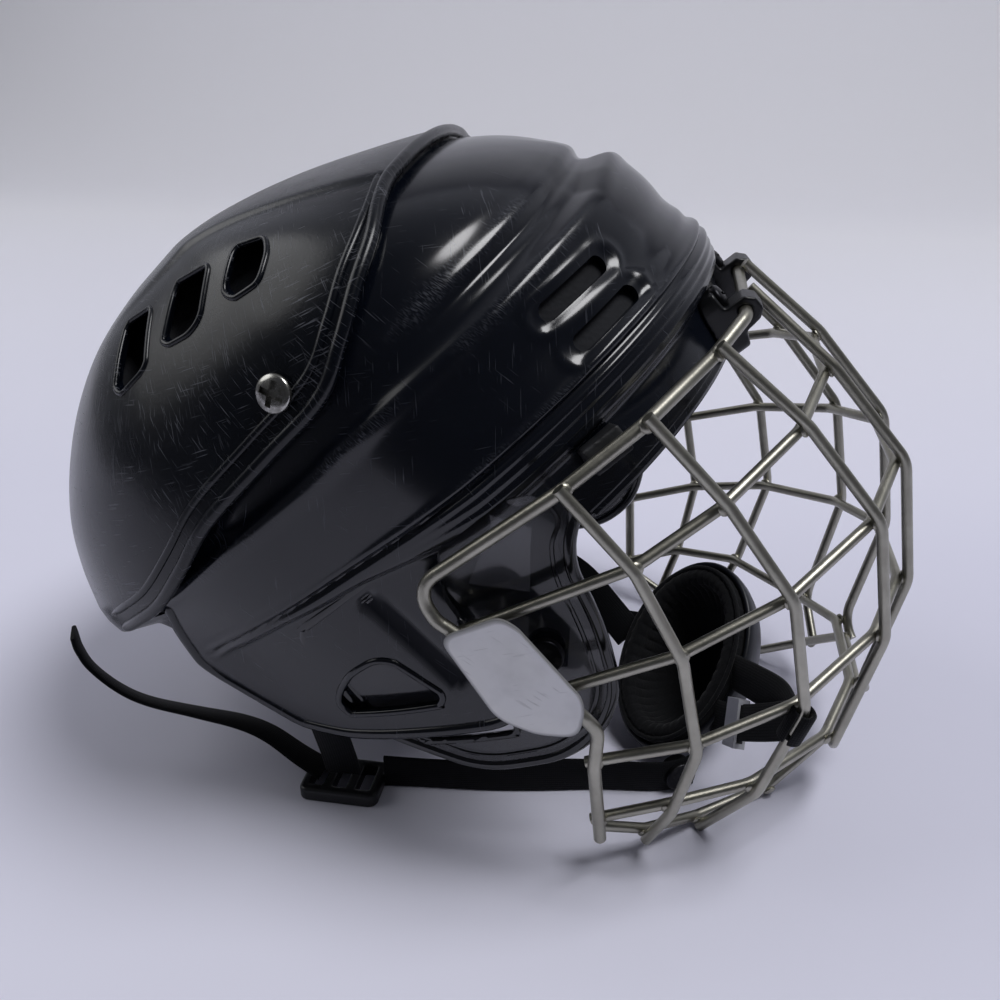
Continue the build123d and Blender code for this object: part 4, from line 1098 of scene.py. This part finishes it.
def ribbon(name, route, wide, width, thick=1.5, count=90, sway=0.0):
    """Strap along floor frame points; wide is the direction of its width."""
    p = spline(route, count)
    run = unit(np.gradient(p, axis=0))
    wide = np.asarray(wide, float)
    if wide.ndim == 1:
        wide = np.tile(wide, (count, 1))
    else:
        at = np.linspace(0, len(wide) - 1, count)
        wide = np.stack([np.interp(at, np.arange(len(wide)), way) for way in wide.T], -1)
    side = unit(wide - run * np.sum(wide * run, axis=1)[:, None])
    up = np.cross(run, side)
    if sway:
        turn = sway * np.sin(np.linspace(0, 3 * math.pi, count))[:, None]
        side, up = (side * np.cos(turn) + up * np.sin(turn),
                    up * np.cos(turn) - side * np.sin(turn))
    w, h = width / 2, thick / 2
    profile = [(-w, -h * 0.4), (-w + 0.5, -h), (0, -h * 1.05), (w - 0.5, -h), (w, -h * 0.4),
               (w, h * 0.4), (w - 0.5, h), (0, h * 1.05), (-w + 0.5, h), (-w, h * 0.4)]
    ring = np.array([p + side * a + up * b for a, b in profile]).transpose(1, 0, 2)
    vertices = floor_place(ring.reshape(-1, 3))
    run_length = np.r_[0, np.cumsum(np.linalg.norm(np.diff(p, axis=0), axis=1))]
    uv = [(run_length[i], a) for i in range(count) for a, b in profile]
    return outward(new_object(name, vertices, tube_faces(count, len(profile)), WEB, 50.0, uv),
                   False)


CHIN_ROUTE = [(-27, 61), (6, 57.6), (44, 50.6), (68, 47.6), (80, 41.5)]
STRAP_EDGE = 6.9                  # the straps' middle above the floor
CHIN_WIDE, HANGER_WIDE, TAIL_WIDE = 13.0, 12.6, 10.4
EAR_WIDE = CUP_WIDE = 12.0
TAIL_ROUTE = [(-49, 5.2), (-57.2, 10.5), (-68, 18.5), (-78.5, 22.3), (-93.2, 24.2),
              (-111.8, 26.7), (-122.6, 31.0), (-131.5, 38.6), (-135.1, 45.7), (-136.3, 53.0)]
TAIL_ACROSS = -62.0


def make_straps():
    """Chin straps on edge, hangers, and the loose tail behind the near buckle."""
    made = {}
    for hand, sign in HANDS:
        route = [(x, y * sign, STRAP_EDGE) for x, y in CHIN_ROUTE]
        made["chin_strap_" + hand] = ribbon("chin_webbing_" + hand, route, (0, 0, 1),
                                            CHIN_WIDE, sway=0.07)
        hanger = [(-43.4, 73.4 * sign, 44), (-42.4, 70.0 * sign, 30), (-41.4, 66 * sign, 16),
                  (-41.0, 63.9 * sign, 7.0)]
        made["strap_hanger_" + hand] = ribbon("hanger_webbing_" + hand, hanger, (1, 0, 0.1),
                                              HANGER_WIDE)
        ear = [(40.6, 74.0 * sign, 138), (37.5, 79.5 * sign, 130), (33.0, 82.3 * sign, 118),
               (32.6, 82.4 * sign, 100), (32.2, 82.4 * sign, 74)]
        made["ear_strap_" + hand] = ribbon("ear_webbing_" + hand, ear, (1, 0, 0.1),
                                           EAR_WIDE)
    tail = [(x, TAIL_ACROSS, z) for x, z in TAIL_ROUTE]
    made["strap_tail"] = ribbon("tail_webbing", tail, [(0.1, 1, 0), (-0.2, 0.85, -0.35),
                                                       (-0.34, 0.75, -0.5)], TAIL_WIDE,
                                1.4)
    return made


LOOP_HEIGHT = 59.0                # where the cup's straps go round the near upright
LOOP_RADIUS = 3.2
CUP_STRAPS = [[(90, -22, 37), (97, -44, 47.5), (102, -63, 56)],
              [(82, -25, 20), (90, -44, 31), (97, -61, 44.5)]]
LOOSE_STRAP = [(54, 6, 29), (45, 14, 35), (34, 25, 41), (24, 34, 43)]


def upright_line():
    """Place and direction of the near upright below its third bar, floor frame."""
    p = mesh_points(bpy.data.objects["cage_upright_3_right"].data) / MM - FLOOR
    upper, lower = p[p[:, 2] > LOOP_HEIGHT + 2], p[p[:, 2] < LOOP_HEIGHT - 2]
    upper = upper[upper[:, 2] < upper[:, 2].min() + 4].mean(0)
    lower = lower[lower[:, 2] > lower[:, 2].max() - 4].mean(0)
    along = upper - lower
    share = (LOOP_HEIGHT - lower[2]) / along[2]
    return lower + along * share, unit(along)


def make_cup_straps():
    """Two straps from the cup to a sewn loop round the near upright, and the loose one."""
    centre, along = upright_line()
    pieces = []
    for index, route in enumerate(CUP_STRAPS):
        tip = centre + np.array((-1.6, 2.6, 0.0)) * (1 if index == 0 else 0.7)
        pieces.append(ribbon("cup_strap_%d" % index, route + [tuple(tip)], along, CUP_WIDE,
                             1.5, 60))
    toward = unit(np.cross(along, (0, 0, 1.0)))
    other = np.cross(along, toward)
    ring = [centre + LOOP_RADIUS * (toward * math.cos(a) + other * math.sin(a))
            for a in np.linspace(0.2, 2 * math.pi - 0.2, 26)]
    pieces.append(ribbon("cup_strap_loop", ring, along, CUP_WIDE, 1.4, 40))
    return join("cup_strap_webbing", pieces), ribbon(
        "cup_loose_webbing", LOOSE_STRAP, (0.27, 0.60, 0.75), CUP_WIDE, 1.5, 60)


straps = make_straps()
cup_webbing, loose_webbing = make_cup_straps()


# Weld drops: one ball set on marked points by Geometry Nodes

def weld_tree():
    """Node group that sets a ball on each point, turned and sized by its attributes."""
    tree = bpy.data.node_groups.new("weld_layout", "GeometryNodeTree")
    tree.interface.new_socket("Points", in_out="INPUT", socket_type="NodeSocketGeometry")
    size = tree.interface.new_socket("Size", in_out="INPUT", socket_type="NodeSocketFloat")
    tree.interface.new_socket("Welds", in_out="OUTPUT", socket_type="NodeSocketGeometry")
    given = add(tree, "NodeGroupInput").outputs
    drop = add(tree, "GeometryNodeMeshUVSphere", {"Segments": 12, "Rings": 8, "Radius": 1.0})
    turn, grow = (add(tree, "GeometryNodeInputNamedAttribute", {"Name": key},
                      data_type="FLOAT_VECTOR") for key in ("turn", "grow"))
    turned = add(tree, "FunctionNodeEulerToRotation", {0: turn})
    scaled = add(tree, VECTOR, {0: grow, "Scale": given["Size"]}, operation="SCALE")
    laid = add(tree, "GeometryNodeInstanceOnPoints", {
        "Points": given["Points"], "Instance": drop, "Rotation": turned, "Scale": scaled})
    real = add(tree, "GeometryNodeRealizeInstances", {0: laid})
    done = add(tree, "GeometryNodeSetMaterial", {"Geometry": real, "Material": STEEL})
    add(tree, "NodeGroupOutput", {0: done})
    return tree, size.identifier


def weld_drops(points, turns, sizes):
    """Plain mesh of weld drops at metre points, with their turns and sizes."""
    mesh = bpy.data.meshes.new("cage_weld_fillets")
    mesh.from_pydata([tuple(map(float, q)) for q in points], [], [])
    for key, rows in (("turn", turns), ("grow", sizes)):
        layer = mesh.attributes.new(key, "FLOAT_VECTOR", "POINT")
        layer.data.foreach_set("vector", np.asarray(rows, float).ravel())
    made = stand("cage_weld_fillets", mesh)
    tree, socket = weld_tree()
    step = made.modifiers.new("layout", "NODES")
    step.node_group = tree
    step[socket] = WELD
    finish_mesh(settle(made), 40.0)
    return made


# Cage: weld fillets where the wires cross

CAGE_SIZE = (95.6, 98.0, 165.0)   # reach, half width and drop


def cage_points(rows, sign=1):
    """Shares of the cage's reach, half width and drop to head frame millimetres."""
    p = np.array(rows, float) * CAGE_SIZE
    p[:, 1] *= sign
    return p


RIM = [(0.363, 0.969, -0.095), (0.617, 0.847, -0.108), (0.823, 0.531, -0.134)]
FRAME_STRAIGHT = [(-0.052, 0.999, -0.433), (-0.181, 1.006, -0.142)]
BARS = [[(-0.157, 0.967, -0.193), (0.358, 0.949, -0.272), (0.621, 0.806, -0.303),
         (0.873, 0.51, -0.335), (1.0, 0.194, -0.338)],
        [(-0.08, 0.962, -0.379), (0.283, 0.939, -0.449), (0.587, 0.796, -0.509),
         (0.862, 0.5, -0.558), (0.998, 0.194, -0.568)],
        [(-0.169, 0.929, -0.544), (0.111, 0.918, -0.618), (0.397, 0.786, -0.695),
         (0.649, 0.49, -0.759), (0.769, 0.204, -0.779)],
        [(-0.35, 0.857, -0.679), (-0.135, 0.847, -0.727), (0.079, 0.745, -0.814),
         (0.28, 0.459, -0.918), (0.403, 0.204, -0.935)]]
BOTTOM = [(-0.308, 0.776, -0.781), (-0.217, 0.622, -0.875), (-0.029, 0.429, -0.975),
          (0.229, 0.306, -0.985), (0.401, 0.153, -0.965)]
WELD = 0.0021
WELD_OUT = 1.6                    # from the wires' middle to the drop
WELD_FORM = (1.15, 1.15, 0.5)


def make_welds():
    """Small spread drops of weld metal where each crossing's wires touch."""
    spots, turns = [], []
    for sign in (1, -1):
        p = cage_points([q for bar in BARS for q in bar] + RIM + BOTTOM, sign)
        face = unit(p * (1, 1, 0.35))
        spots += list(metres(p + face * WELD_OUT))
        turns += [tuple(Vector(way).to_track_quat("Z", "Y").to_euler())
                  for way in metres(face) - place(0.0, 0.0, 0.0)]
    return weld_drops(spots, turns, [WELD_FORM] * len(spots))


welds = make_welds()


# Side plates: bare white sheet with a rubbed grey edge and a lower lip turned in

PLATE = [(-19, -27), (-1, -32), (1, -37), (0.3, -65), (-2.5, -70), (-10, -76), (-18, -68),
         (-24, -57)]
PLATE_FACE = 2.1                  # sheet's underside off the wire's middle
CURL = 2.75                       # radius of its curled ends


def make_plate():
    """Bare sheet over the side frame's straight, and its two ends curled round the wire."""
    low, high = cage_points(FRAME_STRAIGHT)
    along = unit(low - high)
    out = unit(np.array([0.0, 1.0, 0.0]) - along * along[1])
    flat = rounded(PLATE, 4.5)
    base = np.stack([flat[:, 0], np.full(len(flat), high[1]), flat[:, 1]], -1)
    base = base - ((base - high) @ out)[:, None] * out
    middle = base.mean(0)
    rings, edge = [], []
    for share, rise, worn in ((1.0, 0.15, 1), (1.0, 1.0, 1), (0.965, 1.25, 0.55),
                              (0.93, 1.1, 0), (0.6, 1.35, 0), (0.25, 1.5, 0)):
        ring = middle + (base - middle) * share + out * (PLATE_FACE + rise)
        tip = np.clip((base - high) @ along / 50.0 - 0.84, 0, 1)[:, None]
        rings.append(ring - out * tip * 7.0 * share)
        edge += [worn] * len(base)
    vertices = np.vstack(rings + [middle[None] + out * (PLATE_FACE + 1.55),
                                  middle[None] + out * (PLATE_FACE + 0.15)])
    n = len(base)
    faces = grid_faces(len(rings), n)
    top, under = n * len(rings), n * len(rings) + 1
    for c in range(n):
        d = (c + 1) % n
        faces.append(((len(rings) - 1) * n + c, (len(rings) - 1) * n + d, top))
        faces.append((d, c, under))
    made = new_object("side_plate_sheet_left", metres(vertices), faces, WHITE, 45.0)
    layer = made.data.attributes.new("edge", "FLOAT", "POINT")
    layer.data.foreach_set("value", edge + [0, 1])
    outward(made, False)
    hooks = []
    reach = np.linalg.norm(low - high)
    for share in (0.36, 0.64):
        centre = high + along * share * reach
        ring = [centre + out * CURL * math.cos(a) + np.cross(along, out) * CURL * math.sin(a)
                for a in np.linspace(0.95, 2 * math.pi - 0.95, 18)]
        hooks.append(tube("hook", metres(np.array(ring)), 0.0006, WHITE, 8, flat=5.0))
    return made, join("side_plate_curls_left", hooks)


plate_left, curls_left = make_plate()
plate_right = mirrored("side_plate_sheet_right", plate_left)
curls_right = mirrored("side_plate_curls_right", curls_left)


# Chin cup: moulded bowl, sewn lining with gathered pleats, straps to the cage

CUP_PLACE = np.array((73.6, -10.6, 33.8))
CUP_OUT = unit((-0.6, -0.5, 0.62))
CUP_LONG = np.array((0.27, 0.60, 0.75))
CUP_LONG = unit(CUP_LONG - CUP_OUT * (CUP_LONG @ CUP_OUT))
CUP_SIDE = np.cross(CUP_OUT, CUP_LONG)
CUP_SIZE = np.array((36.5, 27.5, 27.0))
CUP_WALL = 2.2
PLEATS = 42


def cup_surface(name, profile, material, pleat, around):
    """Closed form of the cup's sections: depth from the rim, wall offset, pleat share."""
    turn = np.arange(around) * 2 * math.pi / around
    wave = np.abs(np.sin(turn * PLEATS / 2)) ** 0.7
    rows = []
    for bowl_angle, offset, rise, share in profile:
        size = CUP_SIZE - offset - pleat * share * wave[:, None]
        x = size[:, 0] * math.sin(bowl_angle) * np.cos(turn)
        y = size[:, 1] * math.sin(bowl_angle) * np.sin(turn)
        z = -size[:, 2] * math.cos(bowl_angle) + rise
        rows.append(CUP_PLACE + x[:, None] * CUP_LONG + y[:, None] * CUP_SIDE
                    + np.broadcast_to(z, turn.shape)[:, None] * CUP_OUT)
    vertices = floor_place(np.array(rows).reshape(-1, 3))
    return outward(new_object(name, vertices, tube_faces(len(rows), around), material, 60.0))


def make_cup():
    """Moulded bowl, the padded lining rolled over its rim, and the piping sewn to it."""
    right = math.pi / 2
    outer = [(a, 0.0, 0.0, 0) for a in np.linspace(0.12, right, 14)]
    lip_roll = [(right, 0.5, 0.7, 0), (right, 1.6, 0.7, 0)]
    inner = [(a, CUP_WALL, 0.0, 0) for a in np.linspace(right, 0.12, 12)]
    shell = cup_surface("chin_cup_shell", outer + lip_roll + inner, CUP, 0.0, 96)
    start = CUP_WALL + 0.3
    back = [(a, start, 0.0, 0) for a in np.linspace(0.12, right, 8)]
    roll = []
    for a in np.linspace(math.pi, 0, 13):
        share = 0.2 + 0.5 * math.sin(a)
        roll.append((right, start + 3.4 - 3.4 * math.cos(math.pi - a),
                     0.6 + 3.6 * math.sin(a), share))
    front = [(a, start + 6.8, 0.0, 0.9 * math.sin(a) ** 9)
             for a in np.linspace(right - 0.06, 0.14, 18)]
    lining = cup_surface("chin_cup_lining", back + roll + front, KNIT, 0.95, 336)
    seam_turn = np.linspace(0, 2 * math.pi, 240)
    size = CUP_SIZE - start - 1.0
    seam = (CUP_PLACE + np.cos(seam_turn)[:, None] * size[0] * CUP_LONG
            + np.sin(seam_turn)[:, None] * size[1] * CUP_SIDE + CUP_OUT * 3.3)
    piping = tube("chin_cup_piping", floor_place(seam)[:-1], 0.0009, KNIT, 8, True)
    return shell, lining, piping


cup_shell, cup_lining, cup_piping = make_cup()


# Soft and moulded pieces on the head's inside, rounded from their solids

CLIP_MIDDLE = 26.35               # across, from the middle plane
CLIP_SCREW_RISE = -15.1
CLIP_TAIL_RISE = -29.5


def make_clip(node, sign):
    """Moulded cage clip: teardrop seen along its screw, a barrel round the rim wire."""
    made = rounded_copy(node, node + "_moulding", 0.00045, 2, CLIP)
    turn = np.linspace(0, math.pi, 13)
    ring = [(sign * CLIP_MIDDLE + 6.0 * math.cos(a), CLIP_SCREW_RISE + 5.0 * math.sin(a))
            for a in turn]
    ring += [(sign * CLIP_MIDDLE - 3.4 * math.cos(a), CLIP_TAIL_RISE - 3.2 * math.sin(a))
             for a in turn]
    low = np.array([(60.0, y, t) for y, t in ring])
    combine(made, [block(metres(low), metres(low + (50.0, 0.0, 0.0)))], "INTERSECT")
    return eased_skin(made, 0.0004, 14, CLIP)


DOME_SHARE = 0.72                 # of a screw head's height, the rest is its straight edge


def make_screw(node, axis, radius, dome, shank, cross, material):
    """Domed screw with a cross recess, standing where its CAD solid stands."""
    p = mesh_points(bpy.data.objects[node].data)
    axis = unit(metres(np.array(axis, float)) - metres(np.zeros(3)))
    side = unit(np.cross(axis, (0.3, 0.2, 0.9)))
    up = np.cross(axis, side)
    ends = [(p @ v).min() + (p @ v).max() for v in (side, up)]
    top = (p @ axis).max()
    foot = (p @ axis).min() - top
    centre = side * ends[0] / 2 + up * ends[1] / 2 + axis * top
    edge = -dome * DOME_SHARE
    profile = [(0.0, foot), (shank, foot), (shank, -dome), (radius, -dome), (radius, edge)]
    profile += [(radius * math.cos(a), edge * (1 - math.sin(a)))
                for a in np.linspace(0.25, math.pi / 2, 9)]
    sides = 40
    rows = [centre + axis * h + max(r, 2e-4) * (side * math.cos(a) + up * math.sin(a))
            for r, h in profile for a in np.linspace(0, 2 * math.pi, sides, endpoint=False)]
    made = outward(new_object(node + "_head", rows, tube_faces(len(profile), sides), material))
    reach, half, deep = cross
    for long_, wide in ((side, up), (up, side)):
        ring = np.array([centre + long_ * a + wide * b for a, b in (
            (-reach, -half), (reach, -half), (reach, half), (-reach, half))])
        combine(made, [block(ring - axis * deep, ring + axis * deep, material)],
                "DIFFERENCE")
    finish_mesh(made.data, 35.0)
    return made


SCREW_TILT = math.radians(17.0)
screws = {}
# Radius, dome height and shank radius; the cross recess's reach, half width and depth
for hand, sign in HANDS:
    screws["side_screw_" + hand] = make_screw(
        "side_screw_" + hand, (0.0, sign * math.cos(SCREW_TILT), math.sin(SCREW_TILT)),
        0.0052, 0.0021, 0.002, (0.0036, 0.00085, 0.0017), ZINC)
    screws["clip_screw_" + hand] = make_screw(
        "clip_screw_" + hand, (1.0, 0.0, 0.0), 0.0040, 0.0022, 0.0016,
        (0.0024, 0.0005, 0.0012), DARK)
FOAMS = ("liner_front", "liner_crown", "liner_side_left", "liner_side_right", "liner_rear")
foam_copies = {node: rounded_copy(node, node + "_foam", 0.0022, 6, FOAM) for node in FOAMS}
pad_copies = {node: rounded_copy(node, node + "_roll", 0.0009, 4, KNIT)
              for node in ("ear_pad_left", "ear_pad_right")}
clip_copies = {"cage_clip_" + hand: make_clip("cage_clip_" + hand, sign)
               for hand, sign in HANDS}
rest_copies = {node: rounded_copy(node, node + "_rubber", 0.0006, 3, RUBBER)
               for node in ("rim_rest_left", "rim_rest_right")}
buckle_copies = {node: rounded_copy(node, node + "_moulding", 0.00045, 2, BUCKLE)
                 for node in ("strap_buckle_left", "strap_buckle_right")}


# Riding and replacing

def dress(made, body, slot, *nodes):
    """A finished piece that rides on a body and stands for CAD nodes."""
    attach(made, body)
    if nodes:
        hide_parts(*nodes)


dress(front_shell, "shell", "gloss_shell", "front_shell")
dress(rear_shell, "rear_shell", "satin_shell", "rear_shell")
for made, body, slot in ((lip, "rear_shell", "satin_shell"),
                         (window_rims, "rear_shell", "satin_shell"),
                         (panel_rims, "shell", "gloss_shell"),
                         (panel_bead, "shell", "gloss_shell")):
    dress(made, body, slot)
for made, *nodes in ((guard_left, "ear_guard_left"), (guard_right, "ear_guard_right"),
                     (guard_rim_left,), (guard_rim_right,)):
    dress(made, "shell", "smoked_plastic", *nodes)
for node, made in straps.items():
    dress(made, "shell", "webbing", node)
for node, made in screws.items():
    dress(made, "rear_shell" if node.startswith("side") else "shell", "dark_metal", node)
dress(cup_webbing, "cage", "webbing", "cup_strap")
dress(loose_webbing, "cage", "webbing", "cup_loose_strap")
dress(welds, "cage", "cage_steel")
for made, *nodes in ((plate_left, "side_plate_left"), (plate_right, "side_plate_right"),
                     (curls_left,), (curls_right,)):
    dress(made, "cage", "white_plate", *nodes)
dress(cup_shell, "cage", "clip_plastic", "chin_cup")
dress(cup_lining, "cage", "pad_fabric", "cup_pad")
dress(cup_piping, "cage", "pad_fabric")
for copies, slot in ((foam_copies, "foam"), (pad_copies, "pad_fabric"),
                     (clip_copies, "clip_plastic"), (rest_copies, "rest_rubber"),
                     (buckle_copies, "clip_plastic")):
    for node, made in copies.items():
        dress(made, "rear_shell" if node == "liner_rear" else "shell", slot, node)


# Carried-over CAD pieces

CARRIED = {"cage_": STEEL, "cage_clip": CLIP, "clip_screw": DARK, "rim_rest": RUBBER,
           "side_screw": DARK, "side_t_nut": DARK, "side_plate": WHITE, "liner": FOAM,
           "ear_guard": SMOKED, "ear_strap": WEB, "ear_snap": DARK, "ear_pad": KNIT,
           "chin_cup": CUP, "cup_pad": KNIT, "cup_strap": WEB, "cup_slider": SLIDER,
           "cup_loose": WEB, "strap_tail": WEB, "chin_strap": WEB, "chin_snap": DARK,
           "strap_buckle": BUCKLE, "strap_hanger": WEB}
for made in [found for found in bpy.data.objects if found.name in NODES]:
    fits = [key for key in CARRIED if made.name.startswith(key)]
    if fits and not made.data.materials:
        made.data.materials.append(CARRIED[max(fits, key=len)])
    elif fits:
        for slot in made.material_slots:
            slot.material = CARRIED[max(fits, key=len)]


# Stage: pale sheet that runs up into the backdrop, a ceiling panel and a window

def floor_material():
    """Pale lavender-grey photo sheet, a little paler where it rises as the backdrop: painted
    light that brightens the backdrop.
    """
    made, tree, body = new_material("pale_photo_sheet", Roughness=0.9, Specular_IOR_Level=0.1)
    spot = add(tree, SPOT).outputs["Object"]
    cloud = add(tree, NOISE, {"Vector": spot, "Scale": 1.6, "Detail": 2.0})
    tone = add(tree, RAMP, {"Fac": cloud}, [(0.3, 0.0), (0.7, 1.0)])
    sheet = add(tree, MIX, {0: tone, 6: colour("dedeef"), 7: colour("e6e6f5")},
                data_type="RGBA")
    back = add(tree, "ShaderNodeSeparateXYZ", {0: spot}).outputs["Y"]
    # Paler colour up the backdrop is painted light, standing in for the brighter light that
    # falls on it
    upright = add(tree, RAMP, {"Fac": back}, [(0.15, 0.0), (1.0, 1.0)])
    feed(body, {"Base Color": add(tree, MIX, {0: upright, 6: sheet, 7: colour("f8f8ff")},
                                  data_type="RGBA")})
    return made


STAGE_SIDES = (-1.3, 1.5)
STAGE_FRONT = -0.42               # ends just before the picture, so the dark room reflects


STAGE_BACK, STAGE_BEND, STAGE_TOP = 1.2, 0.5, 2.4


def make_stage():
    """One sheet: flat floor, a round bend and an upright back."""
    bend = [(STAGE_BACK + STAGE_BEND * math.sin(a), STAGE_BEND - STAGE_BEND * math.cos(a))
            for a in np.linspace(0, math.pi / 2, 12)]
    profile = [(STAGE_FRONT, 0.0)] + bend + [(STAGE_BACK + STAGE_BEND, STAGE_TOP)]
    points = [(x, y, z) for y, z in profile for x in STAGE_SIDES]
    faces = [(2 * i, 2 * i + 1, 2 * i + 3, 2 * i + 2) for i in range(len(profile) - 1)]
    sheet = new_object("stage_sheet", points, faces, floor_material(), 80.0)


AIM = Vector((0, 0, 0.1))


def area_light(name, spot, size, watts, tint=(1.0, 1.0, 1.0)):
    """Oval soft lamp turned towards the helmet."""
    data = bpy.data.lights.new(name, "AREA")
    data.shape = "ELLIPSE"
    data.size, data.size_y = size
    data.energy = watts
    data.color = tint
    light = stand(name, data)
    light.location = spot
    light.rotation_euler = (AIM - Vector(spot)).to_track_quat("-Z", "Y").to_euler()


ROOM_FACING = (0.05, 0.99, 0.12)  # towards the pale side of the room
ROOM_LEVELS = [(0.0, 0.06), (0.5, 0.12), (0.72, 0.35), (0.88, 0.8), (1.0, 1.0)]


def room_world():
    """Pale room above and behind, dim on the side where the photographer stands."""
    world = bpy.data.worlds.new("pale room")
    world.use_nodes = True
    tree = world.node_tree
    facing = add(tree, VECTOR, {0: add(tree, SPOT).outputs["Generated"], 1: ROOM_FACING},
                 operation="DOT_PRODUCT")
    share = add(tree, MATH, {0: facing, 1: 0.5, 2: 0.5}, operation="MULTIPLY_ADD")
    feed(tree.nodes["Background"], {
        "Color": colour("ccceda"), "Strength": add(tree, RAMP, {"Fac": share}, ROOM_LEVELS)})
    bpy.context.scene.world = world


make_stage()
area_light("ceiling_panel", (0.85, -0.1, 2.05), (1.2, 0.9), 28.0, (0.98, 0.98, 1.0))
area_light("left_window", (-1.5, 0.05, 1.2), (1.8, 1.4), 10.0)
room_world()
bpy.context.scene.view_settings.view_transform = "Standard"
